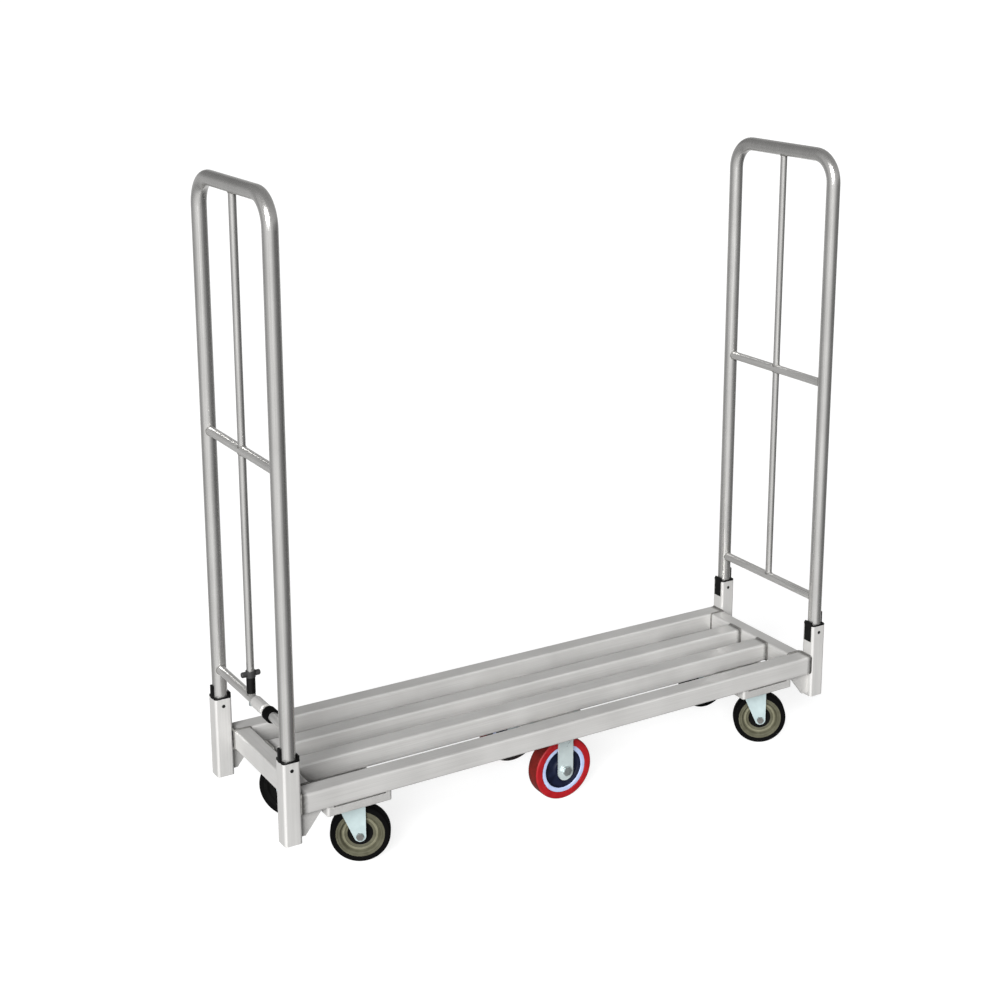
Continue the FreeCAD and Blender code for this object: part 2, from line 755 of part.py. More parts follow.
def kingpin(name):
    """The headed pin a fork turns on, z from the top of the caster plate."""
    body = new_body(name)
    radius = size("kingpin_diameter") / 2
    crown = -(size("fork_wall") * 2 + 7.6)
    points = [(0, 2), (9, 2), (9, 0), (radius, 0), (radius, crown - 0.25)]
    points += [(10, crown - 0.25), (10, crown - 4), (0, crown - 4)]
    shape = new_sketch(body, "shape", "XZ_Plane")
    outline(shape, points)
    revolve(body, shape, "V_Axis")
    return body


def fork(name):
    """A caster's stamped fork about its swivel axis, z from the top of the caster plate."""
    body = new_body(name)
    wall = size("fork_wall")
    crown_low = -(wall * 2 + 7.6)
    crown_top = crown_low + wall
    trail = size("caster_trail")
    boss = size("fork_boss")
    legs = new_sketch(body, "legs", "XZ_Plane")
    left, top, low, axle = -8.0, float(crown_top), float(crown_low) - 12.0, -float(axle_drop)
    centre = Vector(float(trail), axle)
    reach = float(boss)
    right = float(trail) + reach
    away = Vector(left, low) - centre
    turn = math.atan2(away.y, away.x) + math.acos(reach / away.Length)
    touch = centre + Vector(math.cos(turn), math.sin(turn)) * reach
    legs.addGeometry(Part.LineSegment(Vector(left, top), Vector(right, top)), False)
    legs.addGeometry(Part.LineSegment(Vector(right, top), Vector(right, axle)), False)
    arc = Part.ArcOfCircle(Part.Circle(centre, UP, reach), turn, 2.0 * math.pi)
    legs.addGeometry(arc, False)
    legs.addGeometry(Part.LineSegment(touch, Vector(left, low)), False)
    legs.addGeometry(Part.LineSegment(Vector(left, low), Vector(left, top)), False)
    for rule in (
        ("Coincident", 0, 2, 1, 1),
        ("Tangent", 1, 2, 2, 2),
        ("Tangent", 2, 1, 3, 1),
        ("Coincident", 3, 2, 4, 1),
        ("Coincident", 4, 2, 0, 1),
        ("Horizontal", 0),
        ("Vertical", 1),
        ("Vertical", 4),
    ):
        legs.addConstraint(Sketcher.Constraint(*rule))
    fix_point(legs, 0, 1, left, crown_top)
    limit(legs, "DistanceY", (-1, 1, 3, 2), crown_low - 12)
    limit(legs, "Radius", (2,), boss)
    fix_point(legs, 2, 3, trail, -axle_drop)
    pad(body, legs, 2 * fork_outside, both=True)
    edge = float(fork_outside)
    high = float(crown_top)
    soften(
        body,
        4.5,
        lambda e: runs(e, "x") and abs(middle(e).z - high) < 0.01 and abs(middle(e).y) > edge - 0.1,
    )
    between = new_sketch(body, "between", "YZ_Plane")
    rectangle(between, -fork_inside, fork_inside, -(axle_drop + 3 * boss), crown_low)
    pocket(body, between, 8 * trail, both=True)
    crown = new_sketch(body, "crown", "XZ_Plane")
    rectangle(crown, 2, race_inside + 1.4, crown_low, crown_top)
    revolve(body, crown, "V_Axis")
    cup = new_sketch(body, "cup", "XZ_Plane")
    rectangle(cup, race_inside - 9.6, race_inside - 0.6, crown_low + wall / 2, crown_top + 4.8)
    revolve(body, cup, "V_Axis")
    swivel = new_sketch(body, "swivel", "XY_Plane")
    circle(swivel, size("kingpin_diameter") / 2 + size("running_gap"))
    pocket(body, swivel, axle_drop)
    axle_hole = new_sketch(body, "axle_hole", "XZ_Plane")
    circle(axle_hole, size("axle_diameter") / 2, trail, -axle_drop)
    pocket(body, axle_hole, 4 * fork_outside, both=True)
    return body


def axle_bolt(name, radius, outside, across, head, nut):
    """A hex axle bolt along Y with its nut, as two solids."""
    bolt = new_body(name + "_bolt")
    shank = new_sketch(bolt, "shank", "XZ_Plane")
    circle(shank, radius)
    pad(bolt, shank, 2 * (outside + nut + 3), both=True)
    trim = new_sketch(bolt, "trim", "XZ_Plane", outside + head / 2)
    circle(trim, radius * 1.5)
    pocket(bolt, trim, 4 * outside, along=True)
    cap = new_sketch(bolt, "cap", "XZ_Plane", outside)
    hexagon(cap, across)
    pad(bolt, cap, head)
    ring = new_body(name + "_nut")
    shape = new_sketch(ring, "shape", "XZ_Plane", -outside)
    hexagon(shape, across)
    circle(shape, radius)
    pad(ring, shape, nut, back=True)
    return bolt, ring


def wheel_core(name, radius, bore, width, hub):
    """A wheel core about the Y axis: hub, dished web and rim."""
    body = new_body(name)
    half = width / 2
    rim = half - 1.5
    shape = new_sketch(body, "shape", "YZ_Plane")
    deep = half * 0.45
    inner = radius - 6
    points = [(-half - 2, bore), (half + 2, bore), (half + 2, hub), (deep + 3, hub)]
    points += [(deep, hub + 6), (deep, inner - 5), (rim, inner), (rim, radius)]
    points += [(-rim, radius), (-rim, inner), (-deep, inner - 5), (-deep, hub + 6)]
    points += [(-deep - 3, hub), (-half - 2, hub)]
    outline(shape, points)
    revolve(body, shape, "H_Axis")
    return body


def wheel_tyre(name, inner, outer, width, shoulder):
    """A tyre or tread about the Y axis."""
    body = new_body(name)
    half = width / 2
    shape = new_sketch(body, "shape", "YZ_Plane")
    points = [(-half, inner), (half, inner), (half, outer - shoulder), (half - shoulder, outer)]
    points += [(shoulder - half, outer), (-half, outer - shoulder)]
    outline(shape, points)
    revolve(body, shape, "H_Axis")
    return body


def casters():
    """Four swivel casters in two trays."""
    plates, pins = [], []
    trail = size("caster_trail")
    axle_z = size("wheel_radius")
    axle_radius = size("axle_diameter") / 2
    core_radius = size("wheel_radius") - size("tyre_depth")
    bore = axle_radius + size("running_gap")
    for end, x in (("near", -caster_x), ("far", caster_x)):
        for side, y in (("front", -caster_y), ("back", caster_y)):
            name = end + "_" + side
            plates.append(place(caster_plate(name + "_plate"), x, y, caster_height))
            pins.append(place(kingpin(name + "_kingpin"), x, y, caster_height))
            turn = size(name + "_angle")
            turn_cos = Size(math.cos(math.radians(turn.value)), "cos(%s)" % turn.text)
            turn_sin = Size(math.sin(math.radians(turn.value)), "sin(%s)" % turn.text)
            parts.append(place(fork(name + "_fork"), x, y, caster_height, turn))
            spot = (x + trail * turn_cos, y + trail * turn_sin, axle_z, turn)
            across = size("axle_head")
            bolt, nut = axle_bolt(name + "_axle", axle_radius, fork_outside, across, as_size(6), 7)
            axle = [place(bolt, *spot), place(nut, *spot)]
            parts.append(group(name + "_axle", axle))
            width = size("wheel_width")
            core = wheel_core(name + "_wheel_core", core_radius, bore, width, 15)
            tyre = wheel_tyre(name + "_tyre", core_radius, size("wheel_radius"), width, 5)
            parts.append(place(core, *spot))
            parts.append(place(tyre, *spot))
    parts.append(group("caster_plates", plates))
    parts.append(group("caster_kingpins", pins))


def wheel_bracket(name):
    """The rigid bracket of a centre wheel, z from its top."""
    body = new_body(name)
    wall = size("bracket_wall")
    half = size("bracket_leg") / 2
    foot = centre_drop + size("bracket_tip")
    web = new_sketch(body, "web", "XY_Plane", -wall)
    middle_rectangle(web, size("bracket_length"), size("bracket_width"))
    pad(body, web, wall)
    soften(body, 10, lambda e: runs(e, "z"))
    legs = new_sketch(body, "legs", "XZ_Plane")
    rectangle(legs, -half, half, -foot, -wall / 2)
    pad(body, legs, 2 * bracket_outside, both=True)
    ends = new_sketch(body, "ends", "XZ_Plane")
    circle(ends, half, 0, -foot)
    pad(body, ends, 2 * bracket_outside, both=True)
    between = new_sketch(body, "between", "YZ_Plane")
    rectangle(between, -bracket_inside, bracket_inside, -(foot + 2 * half), -wall)
    pocket(body, between, 8 * half, both=True)
    axle_hole = new_sketch(body, "axle_hole", "XZ_Plane")
    circle(axle_hole, size("centre_axle") / 2, 0, -centre_drop)
    pocket(body, axle_hole, 4 * bracket_outside, both=True)
    holes = new_sketch(body, "holes", "XY_Plane", wall)
    for dx in (-bracket_bolt_x, bracket_bolt_x):
        for dy in (-bracket_bolt_y, bracket_bolt_y):
            circle(holes, bolt_radius, dx, dy)
    pocket(body, holes, wall * 3)
    return body


def centre_wheels():
    """Two rigid wheels under the middle of the deck."""
    axle_radius = size("centre_axle") / 2
    core_radius = size("centre_radius") - size("tread_depth")
    bore = axle_radius + size("running_gap")
    width = size("centre_width")
    axles = []
    for side, y in (("front", -caster_y), ("back", caster_y)):
        parts.append(place(wheel_bracket(side + "_bracket"), 0, y, bracket_top))
        spot = (0, y, size("centre_radius"))
        across = size("centre_axle_head")
        bolt, nut = axle_bolt(side + "_axle", axle_radius, bracket_outside, across, as_size(8), 9)
        axles += [place(bolt, *spot), place(nut, *spot)]
        core = wheel_core(side + "_centre_core", core_radius, bore, width, 17)
        tread = wheel_tyre(side + "_centre_tread", core_radius, size("centre_radius"), width, 4)
        parts.append(place(core, *spot))
        parts.append(place(tread, *spot))
    parts.append(group("centre_axles", axles))


def plate_bolts():
    """The bolts that hold the casters and brackets up to the trays and the centre plate."""
    bolts, nuts = [], []
    spots = []
    caster_grip = size("fork_wall") + size("tray_wall")
    bracket_grip = size("bracket_wall") + size("plate_thickness")
    for y in (-caster_y, caster_y):
        for x in (-caster_x, caster_x):
            for dx in (-caster_bolt_x, caster_bolt_x):
                for dy in (-caster_bolt_y, caster_bolt_y):
                    low = caster_height - size("fork_wall")
                    spots.append((x + dx, y + dy, low, caster_grip))
        for dx in (-bracket_bolt_x, bracket_bolt_x):
            for dy in (-bracket_bolt_y, bracket_bolt_y):
                low = bracket_top - size("bracket_wall")
                spots.append((as_size(dx), y + dy, low, bracket_grip))
    for number, (x, y, low, grip) in enumerate(spots, 1):
        bolt = new_body("plate_bolt_%d" % number)
        cap = new_sketch(bolt, "cap", "XY_Plane")
        hexagon(cap, 13)
        pad(bolt, cap, 5.3, back=True)
        shank = new_sketch(bolt, "shank", "XY_Plane")
        circle(shank, bolt_radius)
        pad(bolt, shank, grip + 8)
        bolts.append(place(bolt, x, y, low))
        nut = new_body("plate_nut_%d" % number)
        ring = new_sketch(nut, "ring", "XY_Plane")
        hexagon(ring, 13)
        circle(ring, bolt_radius)
        pad(nut, ring, 6.5)
        nuts.append(place(nut, x, y, low + grip))
    parts.append(group("plate_bolts", bolts))
    parts.append(group("plate_nuts", nuts))


def main():
    """Builds every piece and writes one file for each."""
    deck_frame()
    parts.append(caster_tray("near_caster_tray", -caster_x))
    parts.append(caster_tray("far_caster_tray", caster_x))
    parts.append(wheel_plate())
    screws = []
    for x in (-handle_x, handle_x):
        for y in (-post_y, post_y):
            screw = socket_screw("socket_screw_%d" % (len(screws) + 1))
            screws.append(place(screw, x, y, post_top - size("screw_drop")))
    parts.append(group("socket_screws", screws))
    handles()
    casters()
    centre_wheels()
    plate_bolts()
    doc.recompute()
    for item in doc.Objects:
        if "Invalid" in item.State or "Error" in item.State:
            raise ValueError("%s: %s" % (item.Name, item.State))
    os.makedirs("parts", exist_ok=True)
    for part in parts:
        shape = part.Shape
        if shape.isNull() or not shape.isValid() or not shape.Solids:
            raise ValueError("%s has no sound solid" % part.Label)
        shape.exportStep("parts/%s.step" % part.Label)
    print("%d parts" % len(parts))


main()
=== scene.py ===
"""U-boat cart: finishes, wheels, fasteners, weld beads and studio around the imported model.

Lengths are in millimetres, and become metres where a mesh or a node takes them.
"""

import json
import logging
import math
from dataclasses import asdict, dataclass, field
from enum import Enum
from typing import Iterable, Optional, Sequence, Union

import bmesh
import bpy
from mathutils import Matrix, Vector


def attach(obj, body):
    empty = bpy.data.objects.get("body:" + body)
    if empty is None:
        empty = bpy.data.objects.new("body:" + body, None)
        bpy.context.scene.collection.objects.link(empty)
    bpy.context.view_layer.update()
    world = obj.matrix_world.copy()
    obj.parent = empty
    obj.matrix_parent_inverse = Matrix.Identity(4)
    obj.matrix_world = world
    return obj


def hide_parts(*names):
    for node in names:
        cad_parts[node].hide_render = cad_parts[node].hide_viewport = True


log = logging.getLogger("cart")

MM = 0.001
CORNERS = ("near_front", "near_back", "far_front", "far_back")
ENDS = ("near", "far")
SIDES = ("front", "back")
SHARP_ANGLE = math.radians(32)
# Past the rim of any wheel
BEYOND = 99.0
# Most of a noise's values lie between these
NOISE_LOW, NOISE_HIGH = 0.3, 0.7
# A Mix node's sockets for colours, by number because its other kinds share their names
SHARE, UNDER, OVER, MIXED = 0, 6, 7, 2

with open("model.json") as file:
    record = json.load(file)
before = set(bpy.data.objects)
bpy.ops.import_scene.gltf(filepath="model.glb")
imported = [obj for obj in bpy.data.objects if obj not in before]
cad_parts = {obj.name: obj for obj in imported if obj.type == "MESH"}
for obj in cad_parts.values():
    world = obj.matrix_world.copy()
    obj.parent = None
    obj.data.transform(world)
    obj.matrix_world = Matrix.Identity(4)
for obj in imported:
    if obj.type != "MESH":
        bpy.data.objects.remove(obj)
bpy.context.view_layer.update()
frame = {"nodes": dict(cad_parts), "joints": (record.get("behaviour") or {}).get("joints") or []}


class Axis(Enum):
    """The cart's axes: X along the deck, Y across it and Z up."""

    X = 0
    Y = 1
    Z = 2


def linear(code: str) -> tuple[float, float, float, float]:
    """Turns an sRGB hex colour to linear.

    Args:
        code: six hex digits.

    Returns:
        Linear red, green, blue and an alpha of one.
    """
    parts = [int(code[k : k + 2], 16) / 255.0 for k in (0, 2, 4)]
    out = [p / 12.92 if p <= 0.04045 else ((p + 0.055) / 1.055) ** 2.4 for p in parts]
    return (out[0], out[1], out[2], 1.0)


def add(
    tree: bpy.types.NodeTree,
    kind: str,
    values: Optional[dict] = None,
    stops: Sequence[tuple[float, tuple]] = (),
    **settings: object,
) -> bpy.types.Node:
    """Adds a node with its settings and links.

    Args:
        tree: the node tree.
        kind: the node's type name.
        values: input name or number to a value, or to an output socket to link from.
        stops: position and linear colour of each stop, for a node that has a colour ramp.
        settings: properties of the node itself.

    Returns:
        The new node.
    """
    node = tree.nodes.new(kind)
    for name, value in settings.items():
        setattr(node, name, value)
    for key, value in (values or {}).items():
        if isinstance(value, bpy.types.NodeSocket):
            tree.links.new(value, node.inputs[key])
        else:
            node.inputs[key].default_value = value
    for number, (place, colour) in enumerate(stops):
        # A new ramp has two stops already
        band = node.color_ramp.elements
        element = band[number] if number < 2 else band.new(place)
        element.position = place
        element.color = colour
    return node


def new_material(name: str) -> tuple[bpy.types.Material, bpy.types.NodeTree, bpy.types.Node]:
    """Makes an empty material.

    Args:
        name: the material's name.

    Returns:
        The material, its tree and its Principled shader.
    """
    material = bpy.data.materials.new(name)
    material.use_nodes = True
    tree = material.node_tree
    shader = next(n for n in tree.nodes if n.type == "BSDF_PRINCIPLED")
    return material, tree, shader


def grained(
    tree: bpy.types.NodeTree, step_mm: Sequence[float], detail: float = 2.0
) -> bpy.types.NodeSocket:
    """Fixed noise in the object's own space.

    Args:
        tree: the node tree.
        step_mm: size of the pattern along X, Y and Z, in millimetres.
        detail: octaves of finer noise.

    Returns:
        The noise, from zero to one.
    """
    where = add(tree, "ShaderNodeTexCoord").outputs["Object"]
    scale = tuple(1.0 / (step * MM) for step in step_mm)
    scaled = add(tree, "ShaderNodeMapping", {"Vector": where, "Scale": scale})
    noise = {"Vector": scaled.outputs[0], "Scale": 1.0, "Detail": detail}
    return add(tree, "ShaderNodeTexNoise", noise).outputs[0]


def edge_nearness(tree: bpy.types.NodeTree, radius_mm: float) -> bpy.types.NodeSocket:
    """How near a point is to an outside or inside edge.

    Args:
        tree: the node tree.
        radius_mm: reach of the edge, in millimetres.

    Returns:
        Zero on a flat face, rising to about three tenths on a square edge.
    """
    soft = add(tree, "ShaderNodeBevel", {"Radius": radius_mm * MM}, samples=4)
    hard = add(tree, "ShaderNodeNewGeometry")
    turn = add(
        tree,
        "ShaderNodeVectorMath",
        {0: soft.outputs[0], 1: hard.outputs["Normal"]},
        operation="DOT_PRODUCT",
    )
    fall = {0: 1.0, 1: turn.outputs["Value"]}
    return add(tree, "ShaderNodeMath", fall, operation="SUBTRACT").outputs[0]


@dataclass(frozen=True)
class Metal:
    """A metal surface: two tones in soft clouds, fine lines or grit, and edges brighter, partly rub wear
    and partly painted highlight.
    """

    name: str
    light: str
    dark: str
    roughness: float
    metallic: float
    line_mm: tuple[float, float, float]
    cloud_mm: float
    # Tone of the edges: partly rub wear, partly painted highlight
    edge: str = "DADAD8"
    relief: float = 0.05
    rub_mm: float = 1.6
    specular: float = 0.35
    depth_mm: float = 0.2
    seam_mm: float = 0.0
    # Weld smoke and painted shade of the joint reach this far back from a welded end
    smoke_mm: float = 11.0
    smoke_patch_mm: float = 6.0
    smoke: str = "4C4B49"
    dark_at: float = NOISE_LOW
    light_at: float = 0.64
    cloud_share: float = 0.5
    smoother: float = 0.05
    rougher: float = 0.08

    def smoked(self, tree: bpy.types.NodeTree, tone: bpy.types.NodeSocket) -> bpy.types.NodeSocket:
        """Weld smoke and painted shade of the joint on the last few millimetres before the welded ends of a
        tube along X.

        Args:
            tree: the node tree.
            tone: the clean colour.

        Returns:
            The colour with the smoke and painted shade on it.
        """
        where = add(tree, "ShaderNodeTexCoord").outputs["Object"]
        along = add(tree, "ShaderNodeSeparateXYZ", {0: where}).outputs["X"]
        away = add(tree, "ShaderNodeMath", {0: along}, operation="ABSOLUTE").outputs[0]
        ragged = {0: grained(tree, [self.smoke_patch_mm] * 3), 1: self.smoke_patch_mm * MM, 2: away}
        wander = add(tree, "ShaderNodeMath", ragged, operation="MULTIPLY_ADD").outputs[0]
        clean_mm = self.seam_mm - self.smoke_mm
        span = {"Value": wander, "From Min": clean_mm * MM, "From Max": self.seam_mm * MM}
        share = add(tree, "ShaderNodeMapRange", span).outputs[0]
        layers = {SHARE: share, UNDER: tone, OVER: linear(self.smoke)}
        return add(tree, "ShaderNodeMix", layers, data_type="RGBA").outputs[MIXED]

    def make(self) -> bpy.types.Material:
        """Builds the material.

        Returns:
            The material.
        """
        material, tree, shader = new_material(self.name)
        lines = grained(tree, self.line_mm, detail=3.0)
        cloud = grained(tree, [self.cloud_mm] * 3)
        both = {"Factor": self.cloud_share, "A": lines, "B": cloud}
        mixed = add(tree, "ShaderNodeMix", both, data_type="FLOAT").outputs["Result"]
        stops = [(self.dark_at, linear(self.dark)), (self.light_at, linear(self.light))]
        tone = add(tree, "ShaderNodeValToRGB", {"Fac": mixed}, stops).outputs[0]
        # Edges take the paler edge tone: partly rub wear, partly painted highlight
        edge_terms = {0: edge_nearness(tree, self.rub_mm), 1: mixed}
        edge_share = add(tree, "ShaderNodeMath", edge_terms, operation="MULTIPLY").outputs[0]
        layers = {SHARE: edge_share, UNDER: tone, OVER: linear(self.edge)}
        colour = add(tree, "ShaderNodeMix", layers, data_type="RGBA").outputs[MIXED]
        # Darker towards the welded ends: weld smoke and painted shade of the joint
        if self.seam_mm:
            colour = self.smoked(tree, colour)
        span = {"Value": lines, "From Min": NOISE_LOW, "From Max": NOISE_HIGH}
        span.update({"To Min": self.roughness - self.smoother, "To Max": self.roughness + self.rougher})
        rough = add(tree, "ShaderNodeMapRange", span).outputs[0]
        relief = {"Height": lines, "Strength": self.relief, "Distance": self.depth_mm * MM}
        bump = add(tree, "ShaderNodeBump", relief)
        shader.inputs["Metallic"].default_value = self.metallic
        shader.inputs["Specular IOR Level"].default_value = self.specular
        tree.links.new(colour, shader.inputs["Base Color"])
        tree.links.new(rough, shader.inputs["Roughness"])
        tree.links.new(bump.outputs[0], shader.inputs["Normal"])
        return material


@dataclass(frozen=True)
class Moulded:
    """A moulded plastic or rubber, or a dull coat: one colour with slight mottling and a fine grain."""

    name: str
    light: str
    dark: str
    roughness: float
    grain_mm: float = 0.9
    relief: float = 0.15
    specular: float = 0.4
    cloud_mm: float = 17.0
    depth_mm: float = 0.3
    smoother: float = 0.06
    rougher: float = 0.08

    def make(self) -> bpy.types.Material:
        """Builds the material.

        Returns:
            The material.
        """
        material, tree, shader = new_material(self.name)
        cloud = grained(tree, [self.cloud_mm] * 3, detail=4.0)
        grain = grained(tree, [self.grain_mm] * 3)
        stops = [(NOISE_LOW, linear(self.dark)), (NOISE_HIGH, linear(self.light))]
        tone = add(tree, "ShaderNodeValToRGB", {"Fac": cloud}, stops).outputs[0]
        span = {"Value": cloud, "From Min": NOISE_LOW, "From Max": NOISE_HIGH}
        span.update({"To Min": self.roughness - self.smoother, "To Max": self.roughness + self.rougher})
        rough = add(tree, "ShaderNodeMapRange", span).outputs[0]
        relief = {"Height": grain, "Strength": self.relief, "Distance": self.depth_mm * MM}
        bump = add(tree, "ShaderNodeBump", relief)
        shader.inputs["Specular IOR Level"].default_value = self.specular
        tree.links.new(tone, shader.inputs["Base Color"])
        tree.links.new(rough, shader.inputs["Roughness"])
        tree.links.new(bump.outputs[0], shader.inputs["Normal"])
        return material


Finish = Union[Metal, Moulded]


def drawn(
    name: str, grain: Axis, metallic: float = 0.35, roughness: float = 0.34, seam_mm: float = 0.0
) -> Metal:
    """Mill-finish aluminium tube, satin grey with the die's fine lines along it.

    The lines are drawn coarser than on a real tube, whose lines are finer than a pixel here.

    Args:
        name: the material's name.
        grain: the way the tube was drawn, which its fine lines follow.
        metallic: how much of it shades as bare metal.
        roughness: how matt it is.
        seam_mm: distance of its welded ends from the middle, or zero where none show.

    Returns:
        The finish.
    """
    line, streak, cloud = 1.7, 220.0, 110.0
    step = [line, line, line]
    step[grain.value] = streak
    return Metal(name, "CBCAC8", "B9B8B6", roughness, metallic, tuple(step), cloud, seam_mm=seam_mm)


# Deck tubes: satin grey with faint lines along them, darker where they are welded, partly weld smoke and
# partly painted shade of the joint
RAIL = drawn("drawn_aluminium_rail", Axis.X, seam_mm=663.95)
SLAT = drawn("drawn_aluminium_slat", Axis.X, seam_mm=625.9)
# Cross-members and keeper: the same satin grey, with the lines running across the deck
ALUMINIUM_Y = drawn("drawn_aluminium_across", Axis.Y)
# Posts: the same satin grey, with the lines running up
ALUMINIUM_Z = drawn("drawn_aluminium_upright", Axis.Z)
# Round bars and handle tubes: brighter, one soft streak of light between darker flanks
TUBE_Y = drawn("drawn_aluminium_bar", Axis.Y, 0.68, 0.3)
TUBE_Z = drawn("drawn_aluminium_tube", Axis.Z, 0.82, 0.22)
# Sheet shows the mill's rolling as broad faint streaks
SHEET = Metal("aluminium_sheet", "BDBCBA", "A9A8A6", 0.42, 0.35, (3.0, 160.0, 3.0), 60.0)
# A weld's ripples are dull and a little dark from the heat
WELD = Metal(
    "aluminium_weld", "7A7976", "52514F", 0.55, 0.3, (0.8, 0.8, 0.8), 9.0, edge="8E8D8A", relief=0.2
)
# Bright zinc plate is cool and pale, with soft clouds in the passivated coat
ZINC = Metal(
    "zinc_plated_steel", "CBD7D7", "BECACB", 0.3, 0.4, (14.0, 14.0, 14.0), 40.0, edge="F4F8F8", relief=0.01
)
# Forks have a greyer coat, a step darker than the brackets
FORK_ZINC = Metal(
    "zinc_plated_fork", "AFBEBF", "A3B2B3", 0.32, 0.4, (14.0, 14.0, 14.0), 40.0, edge="EEF3F3", relief=0.01
)
# Bolts have a greyer zinc, speckled where tools have bitten
BOLT_ZINC = Metal(
    "zinc_plated_bolt", "A9AFAF", "7C8484", 0.35, 0.7, (0.7, 0.7, 0.7), 6.0, edge="D5DADA"
)
# Axle ends are bare dull steel, a dark dot in the pale fork
AXLE_STEEL = Metal(
    "dull_axle_steel", "6E6E6C", "585856", 0.45, 0.5, (0.7, 0.7, 0.7), 6.0, edge="9A9A98"
)
# Set screws are oxide black with a soft sheen
BLACK_OXIDE = Moulded("black_oxide_steel", "1C1C1D", "0D0D0E", 0.4, grain_mm=0.6)
# Tyres are deep matt black, so only their outline reads
TYRE_RUBBER = Moulded(
    "black_rubber", "060606", "030303", 0.8, grain_mm=1.1, relief=0.2, specular=0.06
)
# Wheel cores are olive grey, lighter on the raised ring; the black in the hub is painted shade of its
# recess
OLIVE_CORE = Moulded("olive_grey_polyolefin", "525142", "424133", 0.5, specular=0.2)
OLIVE_RING = Moulded("olive_grey_light_ring", "6C6A58", "5B5A49", 0.45, specular=0.25)
# Painted shade, black: the hub's recess and the back wheels' inward side
CORE_SHADE = Moulded("olive_core_painted_shade", "0C0C0B", "060606", 0.75, specular=0.06)
# Treads are strong red at the side, brown where they roll, partly wear and partly painted shade, and black
# on the inward side, painted shade
RED_TREAD = Moulded(
    "red_polyurethane", "98191E", "88131A", 0.45, grain_mm=1.4, relief=0.1, specular=0.25
)
WORN_SHADED_TREAD = Moulded(
    "red_polyurethane_worn_and_shaded", "6C1A14", "54120E", 0.6, grain_mm=1.0, relief=0.25, specular=0.15
)
INWARD_SHADE_TREAD = Moulded("red_polyurethane_painted_shade", "1D1312", "0E0A0A", 0.65, grain_mm=0.8, relief=0.25)
# Centre wheels have a dark navy dish within a pale blue rim
NAVY_CORE = Moulded("navy_polyolefin", "141A30", "0B0F1F", 0.5, specular=0.2)
PALE_RIM = Moulded("pale_blue_polyolefin", "A9B5D0", "93A1C1", 0.45, specular=0.25)
# Collars and sleeve are plain black, the T grip a worn dark grey
BLACK_NYLON = Moulded("black_nylon", "0E0E0E", "070707", 0.55, grain_mm=0.8, specular=0.15)
GREY_NYLON = Moulded("dark_grey_nylon", "3A3A3A", "2A2A2A", 0.5, grain_mm=0.8, specular=0.25)


class Stock:
    """The finishes made so far, one material for each."""

    def __init__(self) -> None:
        """Starts empty."""
        self._made: dict[str, bpy.types.Material] = {}

    def get(self, finish: Finish) -> bpy.types.Material:
        """The material of a finish.

        Args:
            finish: one of the finish dataclasses.

        Returns:
            Its material, made on first use.
        """
        if finish.name not in self._made:
            self._made[finish.name] = finish.make()
        return self._made[finish.name]

    def dress(self, node: str, finish: Finish) -> None:
        """Gives a CAD node a finish.

        Args:
            node: the node's name.
            finish: its finish.
        """
        slots = frame["nodes"][node].material_slots
        for slot in slots:
            slot.material = self.get(finish)


STOCK = Stock()


def keep(piece: bpy.types.Object, body: str, replaced: Iterable[str] = ()) -> None:
    """Ties a finished piece to its body and hides the nodes it stands for.

    Args:
        piece: the piece.
        body: the CAD body it rides on.
        replaced: nodes that it stands for.
    """
    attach(piece, body)
    names = list(replaced)
    if names:
        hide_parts(*names)
    log.info("%s rides on %s, %d faces", piece.name, body, len(piece.data.polygons))


def new_object(name: str, data: bpy.types.ID) -> bpy.types.Object:
    """Puts a mesh, a light or a camera in the scene at the origin.

    Args:
        name: the object's name.
        data: its mesh, light or camera.

    Returns:
        The object.
    """
    item = bpy.data.objects.new(name, data)
    bpy.context.scene.collection.objects.link(item)
    return item


def joint_axis(name: str) -> tuple[Vector, Vector]:
    """Where a joint is and which way it points.

    Args:
        name: the joint's name.

    Returns:
        A point on the axis and its unit direction.
    """
    joint = next(j for j in frame["joints"] if j["name"] == name)
    return Vector(joint["pos_m"]), Vector(joint["axis"]).normalized()


def axis_matrix(centre: Vector, axis: Vector) -> Matrix:
    """A frame whose Z lies along an axis.

    Args:
        centre: its origin.
        axis: its Z.

    Returns:
        The matrix.
    """
    turn = axis.to_track_quat("Z", "Y").to_matrix().to_4x4()
    return Matrix.Translation(centre) @ turn


def rounded(points: Sequence[tuple[float, float, float]], steps: int = 5) -> list[tuple[float, float]]:
    """A profile with its corners rounded.

    Args:
        points: radius, height and corner radius of each point, in millimetres.
        steps: straight pieces in each round.

    Returns:
        Radius and height of each point, in millimetres.
    """
    out: list[tuple[float, float]] = []
    count = len(points)
    for k, (r, h, soft) in enumerate(points):
        here = Vector((r, h))
        if soft <= 0.0:
            out.append((r, h))
            continue
        before = Vector(points[k - 1][:2])
        after = Vector(points[(k + 1) % count][:2])
        start = here + (before - here).normalized() * soft
        end = here + (after - here).normalized() * soft
        for step in range(steps + 1):
            t = step / steps
            spot = start * (1 - t) ** 2 + here * (2 * t * (1 - t)) + end * t**2
            out.append((spot.x, spot.y))
    return out


